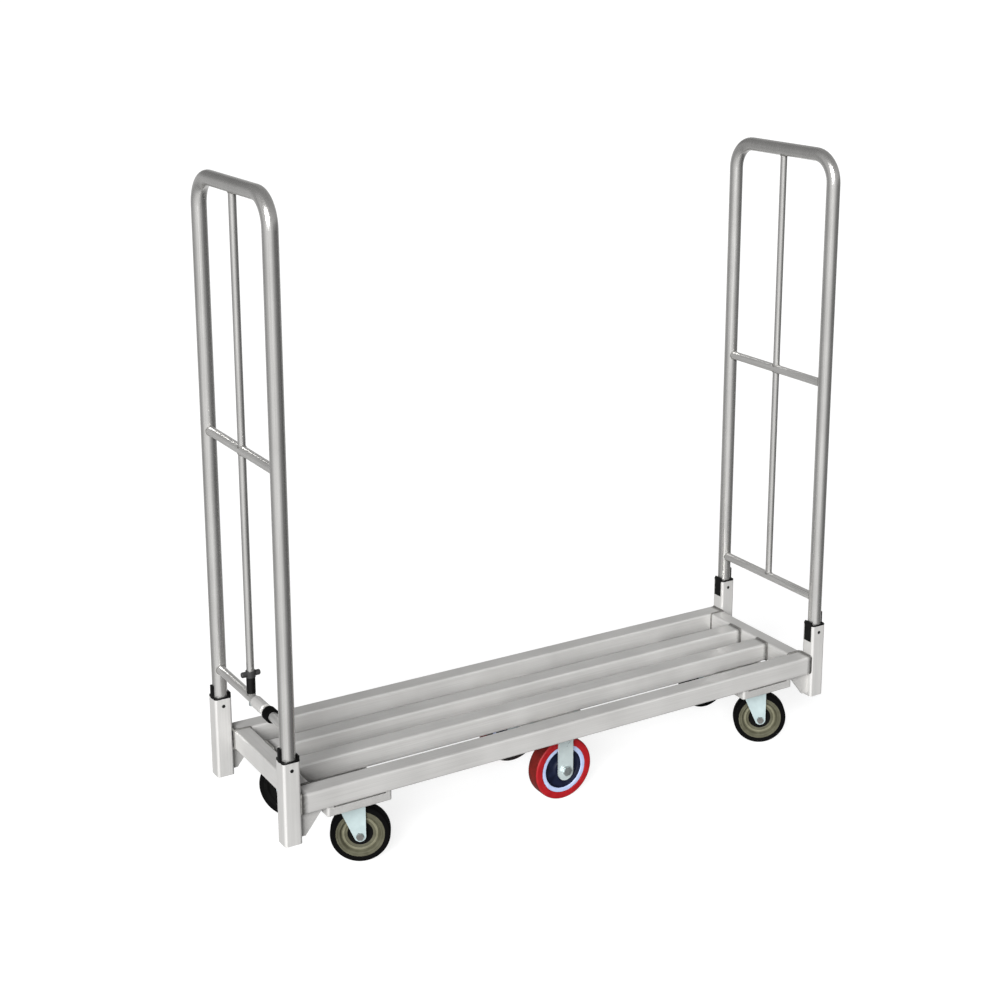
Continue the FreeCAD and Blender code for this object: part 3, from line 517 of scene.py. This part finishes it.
def lathe(
    name: str, profile: Sequence[tuple[float, float]], place: Matrix, around: int = 96
) -> bpy.types.Object:
    """A closed ring turned from a closed profile.

    Args:
        name: the object's name.
        profile: radius and height of each point, in millimetres.
        place: the frame whose Z is the axis.
        around: faces around the axis.

    Returns:
        The object, smooth shaded.
    """
    work = bmesh.new()
    rows = []
    for k in range(around):
        angle = 2 * math.pi * k / around
        c, s = math.cos(angle) * MM, math.sin(angle) * MM
        rows.append([work.verts.new(place @ Vector((r * c, r * s, h * MM))) for r, h in profile])
    count = len(profile)
    for k in range(around):
        a, b = rows[k], rows[(k + 1) % around]
        for j in range(count):
            i = (j + 1) % count
            work.faces.new((a[j], b[j], b[i], a[i]))
    bmesh.ops.recalc_face_normals(work, faces=work.faces)
    mesh = bpy.data.meshes.new(name)
    work.to_mesh(mesh)
    work.free()
    item = new_object(name, mesh)
    mesh.shade_smooth()
    mesh.set_sharp_from_angle(angle=SHARP_ANGLE)
    return item


def paint_rings(
    item: bpy.types.Object, place: Matrix, zones: Sequence[tuple[Finish, float, float]]
) -> None:
    """Gives the rings of a turned piece their finishes.

    Args:
        item: the turned piece.
        place: the frame whose Z is its axis.
        zones: finish, inner and outer radius in millimetres of each ring.
    """
    slots: dict[str, int] = {}
    back = place.inverted()
    for finish, _, _ in zones:
        if finish.name not in slots:
            slots[finish.name] = len(slots)
            item.data.materials.append(STOCK.get(finish))
    for face in item.data.polygons:
        spot = back @ face.center
        radius = math.hypot(spot.x, spot.y) / MM
        for finish, low, high in zones:
            if low <= radius < high:
                face.material_index = slots[finish.name]


@dataclass
class CornerWheel:
    """A corner wheel: moulded core with raised rings and a round-shouldered rubber tyre."""

    corner: str
    radius: float = 63.5
    width: float = 32.0
    tyre_depth: float = 12.0
    bore: float = 4.81
    rim_step: float = 1.6
    dish: float = 0.45
    hub_edge: float = 26.8
    ring_edges: tuple[float, float] = (32.6, 37.8)

    def build(self) -> None:
        """Makes the tyre and the core in place of the CAD ones."""
        centre, axis = joint_axis(self.corner + "_roll")
        place = axis_matrix(centre, axis)
        half = self.width / 2
        seat = self.radius - self.tyre_depth
        # Radius, height and corner radius of each point, here and below
        tyre = [
            (seat, -half + 1.2, 0.0),
            (seat + 1.6, -half, 0.6),
            (seat + 4.0, -half, 0.0),
            (seat + 4.6, -half + 0.5, 0.0),
            (seat + 5.2, -half, 0.0),
            (self.radius - 0.4, -half, 5.5),
            (self.radius, -half + 7.0, 2.0),
            (self.radius, half - 7.0, 2.0),
            (self.radius - 0.4, half, 5.5),
            (seat + 5.2, half, 0.0),
            (seat + 4.6, half - 0.5, 0.0),
            (seat + 4.0, half, 0.0),
            (seat + 1.6, half, 0.6),
            (seat, half - 1.2, 0.0),
        ]
        ring = lathe(self.corner + "_round_tyre", rounded(tyre), place)
        ring.data.materials.append(STOCK.get(TYRE_RUBBER))
        keep(ring, self.corner + "_wheel", [self.corner + "_tyre"])
        rim = half - self.rim_step
        deep = half * self.dish
        side = [
            (self.bore, half + 2.0, 0.0),
            (9.0, half + 2.0, 0.8),
            (9.8, half + 0.6, 0.0),
            (13.0, half + 0.6, 1.2),
            (13.6, deep + 2.5, 1.2),
            (18.0, deep, 1.5),
            (26.0, deep, 0.8),
            (27.2, deep + 1.6, 0.8),
            (32.0, deep + 1.6, 0.6),
            (33.0, deep + 3.2, 0.6),
            (37.4, deep + 3.2, 0.6),
            (38.4, deep + 1.6, 0.6),
            (39.6, deep + 1.6, 0.6),
            (41.5, rim - 2.0, 0.8),
            (43.2, rim, 0.6),
            (46.0, rim, 0.4),
            (46.4, rim - 0.7, 0.0),
            (47.2, rim - 0.7, 0.0),
            (47.6, rim, 0.4),
            (seat, rim, 0.5),
        ]
        profile = side + [(r, -h, soft) for r, h, soft in reversed(side)]
        core = lathe(self.corner + "_ringed_core", rounded(profile, steps=3), place)
        inner, outer = self.ring_edges
        zones = [
            # The black hub ring is painted shade of the recess
            (CORE_SHADE, 0.0, self.hub_edge),
            (OLIVE_CORE, self.hub_edge, inner),
            (OLIVE_RING, inner, outer),
            (OLIVE_CORE, outer, BEYOND),
        ]
        paint_rings(core, place, zones)
        # The back wheels' inward side is painted shade, black like the hub
        if self.corner.endswith("back"):
            inward = axis if axis.y < 0.0 else -axis
            for face in core.data.polygons:
                if (face.center - centre).dot(inward) > 0.0:
                    face.material_index = 0
        keep(core, self.corner + "_wheel", [self.corner + "_wheel_core"])


@dataclass
class CentreWheel:
    """A centre wheel: navy core with a pale rim and a bonded red tread."""

    side: str
    radius: float = 73.0
    width: float = 38.0
    tread_depth: float = 17.0
    bore: float = 6.41
    rim_step: float = 1.5
    dish: float = 0.45
    pale: float = 46.5
    around: int = 120
    shoulder: float = 3.0

    def build(self) -> None:
        """Makes the tread and the core in place of the CAD ones."""
        centre, axis = joint_axis(self.side + "_centre_roll")
        place = axis_matrix(centre, axis)
        half = self.width / 2
        seat = self.radius - self.tread_depth
        # Radius, height and corner radius of each point, here and below
        tread = [
            (seat, -half + 0.8, 0.0),
            (seat + 1.4, -half, 0.6),
            (self.radius - 1.0, -half, 4.0),
            (self.radius, -half + 6.0, 2.0),
            (self.radius, half - 6.0, 2.0),
            (self.radius - 1.0, half, 4.0),
            (seat + 1.4, half, 0.6),
            (seat, half - 0.8, 0.0),
        ]
        ring = lathe(self.side + "_bonded_tread", rounded(tread), place, self.around)
        for finish in (RED_TREAD, WORN_SHADED_TREAD, INWARD_SHADE_TREAD):
            ring.data.materials.append(STOCK.get(finish))
        # Rolling face: wear and painted shade; inward side: painted shade, black
        inward = -1.0 if centre.y > 0.0 else 1.0
        for face in ring.data.polygons:
            spot = face.center - centre
            if abs(spot.y) < (half - self.shoulder) * MM:
                face.material_index = 1
            elif spot.y * inward > 0.0:
                face.material_index = 2
        keep(ring, self.side + "_centre_wheel", [self.side + "_centre_tread"])
        rim = half - self.rim_step
        deep = half * self.dish
        side = [
            (self.bore, half + 2.0, 0.0),
            (12.5, half + 2.0, 0.8),
            (13.2, half + 0.4, 0.0),
            (17.0, half + 0.4, 1.2),
            (17.8, deep + 3.0, 1.2),
            (23.0, deep, 2.0),
            (43.0, deep, 2.0),
            (self.pale, rim - 0.8, 0.6),
            (self.pale + 1.2, rim, 0.5),
            (seat, rim, 0.6),
        ]
        profile = side + [(r, -h, soft) for r, h, soft in reversed(side)]
        core = lathe(self.side + "_rimmed_core", rounded(profile, steps=3), place, self.around)
        edge = self.pale - 1.0
        paint_rings(core, place, [(NAVY_CORE, 0.0, edge), (PALE_RIM, edge, BEYOND)])
        keep(core, self.side + "_centre_wheel", [self.side + "_centre_core"])


class Recipe:
    """A Geometry Nodes tree with named inputs, run on a mesh to give a plain mesh."""

    def __init__(self, name: str, inputs: Sequence[tuple[str, str]]) -> None:
        """Starts the tree.

        Args:
            name: the tree's name.
            inputs: name and socket type of each input after the geometry.
        """
        self.tree = bpy.data.node_groups.new(name, "GeometryNodeTree")
        face = self.tree.interface
        face.new_socket("Geometry", in_out="INPUT", socket_type="NodeSocketGeometry")
        face.new_socket("Geometry", in_out="OUTPUT", socket_type="NodeSocketGeometry")
        self.keys: dict[str, str] = {}
        for label, kind in inputs:
            self.keys[label] = face.new_socket(label, in_out="INPUT", socket_type=kind).identifier
        self.given = self.tree.nodes.new("NodeGroupInput").outputs

    def end(self, geometry: bpy.types.NodeSocket, smooth: bool) -> None:
        """Ends the tree.

        Args:
            geometry: what the tree gives.
            smooth: whether its faces are shaded smooth.
        """
        shading = {"Geometry": geometry, "Shade Smooth": smooth}
        shaded = add(self.tree, "GeometryNodeSetShadeSmooth", shading)
        real = add(self.tree, "GeometryNodeRealizeInstances", {0: shaded.outputs[0]})
        finish = {0: real.outputs[0], "Material": self.given["Material"]}
        dressed = add(self.tree, "GeometryNodeSetMaterial", finish)
        add(self.tree, "NodeGroupOutput", {0: dressed.outputs[0]})

    def run(self, name: str, start: bpy.types.Mesh, values: dict) -> bpy.types.Object:
        """Runs the tree on a mesh.

        Args:
            name: the piece's name.
            start: the points or paths it works on.
            values: input name to value.

        Returns:
            The piece, with a plain mesh.
        """
        seed = new_object(name + "_seed", start)
        modifier = seed.modifiers.new("recipe", "NODES")
        modifier.node_group = self.tree
        for label, value in values.items():
            modifier[self.keys[label]] = value
        graph = bpy.context.evaluated_depsgraph_get()
        mesh = bpy.data.meshes.new_from_object(seed.evaluated_get(graph), depsgraph=graph)
        mesh.name = name
        seed.modifiers.clear()
        bpy.data.objects.remove(seed)
        return new_object(name, mesh)


def bead_recipe() -> Recipe:
    """A rippled weld bead along paths.

    Returns:
        The tree.
    """
    recipe = Recipe(
        "weld_bead",
        [
            ("Radius", "NodeSocketFloat"),
            ("Pitch", "NodeSocketFloat"),
            ("Ripple", "NodeSocketFloat"),
            ("Material", "NodeSocketMaterial"),
        ],
    )
    tree, given = recipe.tree, recipe.given
    around, per_ripple = 8, 4.0
    path = add(tree, "GeometryNodeMeshToCurve", {0: given["Geometry"]}).outputs[0]
    part = {0: given["Pitch"], 1: per_ripple}
    step = add(tree, "ShaderNodeMath", part, operation="DIVIDE").outputs[0]
    spacing = {"Curve": path, "Length": step}
    even = add(tree, "GeometryNodeResampleCurve", spacing, mode="LENGTH").outputs[0]
    along = add(tree, "GeometryNodeSplineParameter").outputs["Length"]
    turns = add(tree, "ShaderNodeMath", {0: along, 1: given["Pitch"]}, operation="DIVIDE").outputs[0]
    angle = add(tree, "ShaderNodeMath", {0: turns, 1: 2 * math.pi}, operation="MULTIPLY").outputs[0]
    wave = add(tree, "ShaderNodeMath", {0: angle}, operation="SINE").outputs[0]
    ripple = {0: wave, 1: given["Ripple"], 2: 1.0}
    swell = add(tree, "ShaderNodeMath", ripple, operation="MULTIPLY_ADD").outputs[0]
    section = {"Resolution": around, "Radius": given["Radius"]}
    ring = add(tree, "GeometryNodeCurvePrimitiveCircle", section).outputs[0]
    sized = add(tree, "GeometryNodeSetCurveRadius", {"Curve": even, "Radius": swell}).outputs[0]
    bead = {"Curve": sized, "Profile Curve": ring, "Fill Caps": True}
    recipe.end(add(tree, "GeometryNodeCurveToMesh", bead).outputs[0], smooth=True)
    return recipe


def hex_recipe() -> Recipe:
    """Hexagon fasteners with a chamfer, a washer and a shank at every point, heads down.

    Returns:
        The tree.
    """
    labels = ("Corner", "Head", "Washer", "Washer Thickness", "Shank", "Above", "Below")
    sockets = [(label, "NodeSocketFloat") for label in labels] + [("Material", "NodeSocketMaterial")]
    recipe = Recipe("hex_fasteners", sockets)
    tree, given = recipe.tree, recipe.given
    body_share, cap_share = 0.82, 0.86
    washer_sides, hex_sides, shank_sides = 24, 6, 16
    sixth_turn, seed = 1.047, 7

    def turned(sides: int, wide: object, narrow: object, low: object, tall: object) -> bpy.types.NodeSocket:
        """A tapered round or hexagon from a height.

        Args:
            sides: faces around.
            wide: radius at the top.
            narrow: radius at the bottom.
            low: height of its bottom.
            tall: its height.

        Returns:
            The mesh.
        """
        cone = add(
            tree,
            "GeometryNodeMeshCone",
            {"Vertices": sides, "Radius Top": wide, "Radius Bottom": narrow, "Depth": tall},
        )
        lift = add(tree, "ShaderNodeCombineXYZ", {"Z": low})
        moved = {"Geometry": cone.outputs["Mesh"], "Translation": lift.outputs[0]}
        return add(tree, "GeometryNodeTransform", moved).outputs[0]

    size = {label: given[label] for label in labels}
    worked_out = (
        ("washer low", "MULTIPLY", "Washer Thickness", -1.0),
        ("body", "MULTIPLY", "Head", body_share),
        ("body low", "SUBTRACT", "washer low", "body"),
        ("cap", "SUBTRACT", "Head", "body"),
        ("cap low", "SUBTRACT", "body low", "cap"),
        ("cap radius", "MULTIPLY", "Corner", cap_share),
        ("shank low", "MULTIPLY", "Below", -1.0),
        ("shank length", "ADD", "Above", "Below"),
    )
    for result, operation, first, second in worked_out:
        terms = {0: size[first], 1: size.get(second, second)}
        size[result] = add(tree, "ShaderNodeMath", terms, operation=operation).outputs[0]
    shapes = [
        turned(washer_sides, size["Washer"], size["Washer"], size["washer low"], size["Washer Thickness"]),
        turned(hex_sides, size["Corner"], size["Corner"], size["body low"], size["body"]),
        turned(hex_sides, size["Corner"], size["cap radius"], size["cap low"], size["cap"]),
        turned(shank_sides, size["Shank"], size["Shank"], size["shank low"], size["shank length"]),
    ]
    joined = add(tree, "GeometryNodeJoinGeometry")
    for shape in shapes:
        tree.links.new(shape, joined.inputs[0])
    draw = {"Min": 0.0, "Max": sixth_turn, "Seed": seed}
    turn = add(tree, "FunctionNodeRandomValue", draw, data_type="FLOAT")
    spin = add(tree, "ShaderNodeCombineXYZ", {"Z": turn.outputs["Value"]})
    spots = add(
        tree,
        "GeometryNodeInstanceOnPoints",
        {"Points": given["Geometry"], "Instance": joined.outputs[0], "Rotation": spin.outputs[0]},
    )
    recipe.end(spots.outputs[0], smooth=False)
    return recipe


@dataclass(frozen=True)
class HexSize:
    """Sizes of a hexagon fastener, with its shank's reach above and below the seat."""

    head: float
    washer: float
    washer_thickness: float
    above: float
    below: float
    corner: float = 7.5
    shank: float = 3.9

    def inputs(self) -> dict[str, float]:
        """The sizes under the names of the tree's inputs, in metres."""
        return {label.replace("_", " ").title(): size * MM for label, size in asdict(self).items()}


@dataclass
class Fasteners:
    """The bolts up through the caster plates and wheel brackets, and their nuts above."""

    caster: Sequence[float] = (534.0, 112.0, 36.0, 23.0)
    bracket: Sequence[float] = (0.0, 112.0, 58.0, 22.0)
    caster_low: float = 149.8
    bracket_low: float = 166.05
    caster_grip: float = 6.2
    bracket_grip: float = 9.3
    bolt: HexSize = HexSize(head=4.0, washer=8.4, washer_thickness=1.3, above=9.0, below=0.5)
    nut: HexSize = HexSize(head=5.0, washer=6.2, washer_thickness=1.5, above=1.5, below=5.5)

    def spots(self, where: Sequence[float], height: float) -> list[tuple[float, float, float]]:
        """The bolt places of one kind.

        Args:
            where: plate middle in X and Y, and the bolts' offset from it in X and Y.
            height: height of the points.

        Returns:
            The points, in metres.
        """
        x, y, dx, dy = where
        out = []
        for middle in {x, -x}:
            for side in (-y, y):
                for over in (-dx, dx):
                    for ahead in (-dy, dy):
                        out.append(((middle + over) * MM, (side + ahead) * MM, height * MM))
        return sorted(out)

    def build(self) -> None:
        """Makes the bolts and the nuts in place of the CAD ones."""
        casters = self.spots(self.caster, self.caster_low)
        brackets = self.spots(self.bracket, self.bracket_low)
        # A lock nut is made from its top down, its locking ring first
        thick = self.nut.washer_thickness + self.nut.head
        nuts = []
        for places, grip in ((casters, self.caster_grip), (brackets, self.bracket_grip)):
            nuts += [(x, y, z + (grip + thick) * MM) for x, y, z in places]
        recipe = hex_recipe()
        for name, places, size, replaced in (
            ("washered_bolts", casters + brackets, self.bolt, "plate_bolts"),
            ("lock_nuts", nuts, self.nut, "plate_nuts"),
        ):
            start = bpy.data.meshes.new(name + "_places")
            start.from_pydata(places, [], [])
            values = {**size.inputs(), "Material": STOCK.get(BOLT_ZINC)}
            keep(recipe.run(name, start, values), "frame", [replaced])


@dataclass
class Welds:
    """Weld beads round the ends of the deck's tubes and of the handles' bars."""

    bead: float = 2.6
    fine: float = 1.5
    pitch: float = 3.2
    ripple: float = 0.16
    deck_tube: float = 44.45
    deck_height: float = 197.575
    cross_width: float = 38.1
    rail_end: tuple[float, float] = (663.6, 176.825)
    slat_end: tuple[float, float] = (625.5, 53.6)
    cross_end: tuple[float, float] = (644.9, 154.3)
    handle_x: float = 683.0
    leg_y: float = 180.0
    top: float = 1424.0
    bars: tuple[float, float] = (893.0, 361.5)
    tube_radius: float = 15.875
    bar_radius: float = 10.0
    rod_radius: float = 8.0
    steps: int = 40
    corner: float = 5.0
    corner_steps: int = 5
    recipe: Recipe = field(default_factory=bead_recipe)

    def saddle(self, hub: Vector, axis: Axis, sign: float, inner: float, outer: float) -> list[Vector]:
        """The seam where a round bar meets a round tube at a right angle.

        Args:
            hub: the point on the tube's axis, in millimetres.
            axis: Y or Z, the way the bar runs.
            sign: the side of the tube the bar is on.
            inner: radius of the bar.
            outer: radius of the tube.

        Returns:
            A closed ring of points.
        """
        ring = []
        for k in range(self.steps):
            angle = 2 * math.pi * k / self.steps
            side, other = inner * math.cos(angle), inner * math.sin(angle)
            reach = sign * math.sqrt(outer**2 - side**2)
            shift = (side, reach, other) if axis is Axis.Y else (side, other, reach)
            ring.append(hub + Vector(shift))
        return ring

    def frame_ring(self, hub: Vector, axis: Axis, wide: float) -> list[Vector]:
        """The seam round the end of a deck tube.

        Args:
            hub: middle of the tube's end, in millimetres.
            axis: X or Y, the way the tube runs.
            wide: outside of the tube across the deck plane.

        Returns:
            A closed ring of points.
        """
        flat, rise = wide / 2 - self.corner, self.deck_tube / 2 - self.corner
        ring = []
        for quarter, (across, up) in enumerate(((1, 1), (-1, 1), (-1, -1), (1, -1))):
            for k in range(self.corner_steps + 1):
                angle = math.pi / 2 * (quarter + k / self.corner_steps)
                side = across * flat + self.corner * math.cos(angle)
                height = up * rise + self.corner * math.sin(angle)
                shift = (0.0, side, height) if axis is Axis.X else (side, 0.0, height)
                ring.append(hub + Vector(shift))
        return ring

    def run(self, name: str, body: str, rings: Sequence[Sequence[Vector]], radius: float) -> None:
        """Lays beads along closed rings.

        Args:
            name: the piece's name.
            body: the body it rides on.
            rings: the seams, in millimetres.
            radius: the bead's radius, in millimetres.
        """
        points: list[Vector] = []
        edges: list[tuple[int, int]] = []
        for ring in rings:
            first = len(points)
            points += [spot * MM for spot in ring]
            edges += [(first + k, first + (k + 1) % len(ring)) for k in range(len(ring))]
        start = bpy.data.meshes.new(name + "_seams")
        start.from_pydata(points, edges, [])
        values = {"Radius": radius * MM, "Pitch": self.pitch * MM, "Ripple": self.ripple}
        values["Material"] = STOCK.get(WELD)
        keep(self.recipe.run(name, start, values), body)

    def build(self) -> None:
        """Lays every bead."""
        deck = []
        # The outer side of a rail's bead is flush with the rail, as a ground weld is
        flush = self.deck_tube - self.bead
        for end in (-1.0, 1.0):
            for side in (-1.0, 1.0):
                x, y = self.rail_end
                rail = Vector((end * x, side * (y - self.bead / 2), self.deck_height))
                deck.append(self.frame_ring(rail, Axis.X, flush))
                x, y = self.slat_end
                slat = Vector((end * x, side * y, self.deck_height))
                deck.append(self.frame_ring(slat, Axis.X, self.deck_tube))
                x, y = self.cross_end
                cross = Vector((end * x, side * y, self.deck_height))
                deck.append(self.frame_ring(cross, Axis.Y, self.cross_width))
        self.run("deck_welds", "frame", deck, self.bead)
        mid, rung = self.bars
        # Height, side and radius of what each end of a centre bar meets
        uprights = (
            (self.top, -1.0, self.tube_radius),
            (mid, 1.0, self.bar_radius),
            (mid, -1.0, self.bar_radius),
            (rung, 1.0, self.bar_radius),
        )
        for end, x in (("near", -self.handle_x), ("far", self.handle_x)):
            rings = []
            for height in self.bars:
                for sign in (-1.0, 1.0):
                    hub = Vector((x, sign * self.leg_y, height))
                    rings.append(self.saddle(hub, Axis.Y, -sign, self.bar_radius, self.tube_radius))
            for height, sign, outer in uprights:
                hub = Vector((x, 0.0, height))
                rings.append(self.saddle(hub, Axis.Z, sign, self.rod_radius, outer))
            self.run(end + "_handle_welds", end + "_handle", rings, self.fine)


@dataclass
class Dress:
    """Finishes for the CAD nodes that keep their own shape."""

    rails: Sequence[str] = ("front_rail", "back_rail")
    slats: Sequence[str] = ("front_slat", "back_slat")
    across: Sequence[str] = ("near_cross_member", "far_cross_member")
    sheets: Sequence[str] = ("near_caster_tray", "far_caster_tray", "centre_wheel_plate", "corner_gussets")
    zinc: Sequence[str] = ("caster_plates", "front_bracket", "back_bracket")
    bolts: Sequence[str] = ("caster_kingpins", "centre_axles", "pull_pin", "pull_cross_pin")
    nylon: Sequence[str] = ("near_collars", "far_collars", "pin_sleeve")

    def build(self) -> None:
        """Gives each of these nodes its finish."""
        for nodes, finish in (
            (self.rails, RAIL),
            (self.slats, SLAT),
            (self.across, ALUMINIUM_Y),
            (self.sheets, SHEET),
            (self.zinc, ZINC),
            (self.bolts, BOLT_ZINC),
            (self.nylon, BLACK_NYLON),
            (("socket_screws",), BLACK_OXIDE),
            (("rung_bumper",), TYRE_RUBBER),
            (("rung_keeper",), ALUMINIUM_Y),
            (("pull_grip",), GREY_NYLON),
        ):
            for node in nodes:
                STOCK.dress(node, finish)
        for end in ENDS:
            for piece in ("handle_tube", "upper_bar", "lower_bar"):
                STOCK.dress("%s_%s" % (end, piece), TUBE_Z)
            for piece in ("mid_bar", "rung"):
                STOCK.dress("%s_%s" % (end, piece), TUBE_Y)
            for side in SIDES:
                STOCK.dress("%s_%s_post" % (end, side), ALUMINIUM_Z)
        for corner in CORNERS:
            STOCK.dress(corner + "_fork", FORK_ZINC)
            STOCK.dress(corner + "_axle", AXLE_STEEL)


@dataclass
class Studio:
    """Pale floor, soft light and the camera of the photograph.

    The key's angles and the surround's are in degrees, the camera's in radians. The floor and the key
    are in metres. The sky's stops are height and tone, the surround's and shade's are angle and tone.
    """

    eye_mm: Sequence[float] = (-1937.1, -3181.6, 1875.1)
    yaw: float = 0.5977
    pitch: float = 0.2417
    roll: float = -0.0153
    focal_px: float = 1741.9
    middle_px: Sequence[float] = (621.0, 378.1)
    image_px: float = 1000.0
    sensor: float = 36.0
    key: float = 5.7
    key_turn: float = 44.0
    key_rise: float = 25.0
    key_width: float = 34.0
    key_away: float = 6.0
    floor_reach: float = 400.0
    floor_glow: float = 0.8
    floor_roughness: float = 0.9
    floor_specular: float = 0.1
    floor_tones: tuple[str, str] = ("949494", "999999")
    floor_cloud_mm: float = 900.0
    view_reach: float = 1000.0
    horizon: tuple[float, float] = (-0.05, 0.25)
    sky: Sequence[tuple[float, float]] = ((0.2, 0.42), (0.5, 0.3), (1.0, 0.05))
    surround: Sequence[tuple[float, float]] = (
        (-180, 0.95),
        (-150, 0.5),
        (-125, 0.2),
        (-110, 0.02),
        (-65, 0.02),
        (-45, 0.3),
        (-20, 0.75),
        (0, 0.85),
        (40, 0.72),
        (65, 0.42),
        (90, 0.2),
        (105, 0.18),
        (125, 0.42),
        (150, 0.6),
        (180, 0.95),
    )
    shade: Sequence[tuple[float, float]] = ((-180, 1.0), (80, 1.0), (105, 0.2), (150, 0.2), (165, 1.0))

    def build(self) -> None:
        """Makes the floor, the key, the surround and the camera."""
        self.floor()
        self.wide_key()
        self.backdrop()
        self.camera()

    def floor(self) -> None:
        """A wide matt white floor."""
        mesh = bpy.data.meshes.new("studio_floor")
        reach = self.floor_reach
        corners = [(-reach, -reach, 0), (reach, -reach, 0), (reach, reach, 0), (-reach, reach, 0)]
        mesh.from_pydata(corners, [], [(0, 1, 2, 3)])
        item = new_object("studio_floor", mesh)
        material, tree, shader = new_material("lit_white_paper")
        # Lit paper stays white in the picture and takes only a faint shadow
        stops = list(enumerate(linear(code) for code in self.floor_tones))
        cloud = grained(tree, [self.floor_cloud_mm] * 3)
        grey = add(tree, "ShaderNodeValToRGB", {"Fac": cloud}, stops)
        tree.links.new(grey.outputs[0], shader.inputs["Base Color"])
        shader.inputs["Roughness"].default_value = self.floor_roughness
        shader.inputs["Specular IOR Level"].default_value = self.floor_specular
        shader.inputs["Emission Color"].default_value = (1.0, 1.0, 1.0, 1.0)
        shader.inputs["Emission Strength"].default_value = self.floor_glow
        mesh.materials.append(material)
        item.visible_diffuse = False
        item.visible_glossy = False

    def wide_key(self) -> None:
        """A wide soft key from the camera's side."""
        sun = bpy.data.lights.new("wide_key", "SUN")
        sun.energy = self.key
        sun.angle = math.radians(self.key_width)
        turn, rise = math.radians(self.key_turn), math.radians(self.key_rise)
        level, lift = self.key_away * math.cos(rise), self.key_away * math.sin(rise)
        spot = Vector((-level * math.sin(turn), -level * math.cos(turn), lift))
        item = new_object("wide_key", sun)
        item.location = spot
        item.rotation_euler = (-spot).to_track_quat("-Z", "Y").to_euler()

    def backdrop(self) -> None:
        """A surround with dark flanks for the metal to mirror."""
        world = bpy.data.worlds.new("studio_surround")
        world.use_nodes = True
        tree = world.node_tree
        shade = next(n for n in tree.nodes if n.type == "BACKGROUND")
        where = add(tree, "ShaderNodeTexCoord").outputs["Generated"]
        facing = (-math.sin(self.yaw), -math.cos(self.yaw), 0.0)
        leftward = (-math.cos(self.yaw), math.sin(self.yaw), 0.0)
        ahead = add(tree, "ShaderNodeVectorMath", {0: where, 1: facing}, operation="DOT_PRODUCT")
        left = add(tree, "ShaderNodeVectorMath", {0: where, 1: leftward}, operation="DOT_PRODUCT")
        sides = {0: left.outputs["Value"], 1: ahead.outputs["Value"]}
        around = add(tree, "ShaderNodeMath", sides, operation="ARCTAN2").outputs[0]
        span = {"Value": around, "From Min": -math.pi, "From Max": math.pi}
        share = add(tree, "ShaderNodeMapRange", span).outputs[0]
        level = add(tree, "ShaderNodeValToRGB", {"Fac": share}, self.ring(self.surround)).outputs[0]
        veil = add(tree, "ShaderNodeValToRGB", {"Fac": share}, self.ring(self.shade)).outputs[0]
        height = add(tree, "ShaderNodeSeparateXYZ", {0: where}).outputs["Z"]
        low, high = self.horizon
        span = {"Value": height, "From Min": low, "From Max": high}
        above = add(tree, "ShaderNodeMapRange", span).outputs[0]
        overhead = [(place, (tone, tone, tone, 1.0)) for place, tone in self.sky]
        sky = add(tree, "ShaderNodeValToRGB", {"Fac": height}, overhead).outputs[0]
        veiled = {SHARE: 1.0, UNDER: sky, OVER: veil}
        dimmed = add(tree, "ShaderNodeMix", veiled, data_type="RGBA", blend_type="MULTIPLY").outputs[MIXED]
        layers = {SHARE: above, UNDER: level, OVER: dimmed}
        tone = add(tree, "ShaderNodeMix", layers, data_type="RGBA").outputs[MIXED]
        # White where it is seen itself, so that low views have no grey band beyond the floor
        seen = add(tree, "ShaderNodeLightPath").outputs["Is Camera Ray"]
        layers = {SHARE: seen, UNDER: tone, OVER: linear("FFFFFF")}
        paper = add(tree, "ShaderNodeMix", layers, data_type="RGBA").outputs[MIXED]
        tree.links.new(paper, shade.inputs["Color"])
        shade.inputs["Strength"].default_value = 1.0
        bpy.context.scene.world = world
        view = bpy.context.scene.view_settings
        view.view_transform = "Standard"
        view.look = "None"

    @staticmethod
    def ring(tones: Sequence[tuple[float, float]]) -> list[tuple]:
        """Stops of a ramp that runs once round the horizon.

        Args:
            tones: angle from the camera's own direction in degrees, left positive, and the tone there.

        Returns:
            Position and colour of each stop.
        """
        return [((turn + 180.0) / 360.0, (tone, tone, tone, 1.0)) for turn, tone in tones]

    def camera(self) -> None:
        """The camera, from its measured place, turn and principal point."""
        cy, sy = math.cos(self.yaw), math.sin(self.yaw)
        cp, sp = math.cos(self.pitch), math.sin(self.pitch)
        cr, sr = math.cos(self.roll), math.sin(self.roll)
        forward = Vector((sy * cp, cy * cp, -sp))
        right = Vector((cy, -sy, 0.0))
        down = forward.cross(right)
        across = right * cr + down * sr
        under = down * cr - right * sr
        turn = Matrix((across, -under, -forward)).transposed().to_4x4()
        data = bpy.data.cameras.new("camera")
        data.sensor_width = self.sensor
        data.lens = self.sensor * self.focal_px / self.image_px
        data.shift_x = 0.5 - self.middle_px[0] / self.image_px
        data.shift_y = self.middle_px[1] / self.image_px - 0.5
        data.clip_end = self.view_reach
        item = new_object("camera", data)
        item.matrix_world = Matrix.Translation(Vector(self.eye_mm) * MM) @ turn
        bpy.context.scene.camera = item


def main() -> None:
    """Builds the cart's looks and the studio."""
    logging.basicConfig(level=logging.INFO, format="%(name)s: %(message)s")
    Dress().build()
    for corner in CORNERS:
        CornerWheel(corner).build()
    for side in SIDES:
        CentreWheel(side).build()
    Fasteners().build()
    Welds().build()
    Studio().build()


if __name__ == "__main__":
    main()
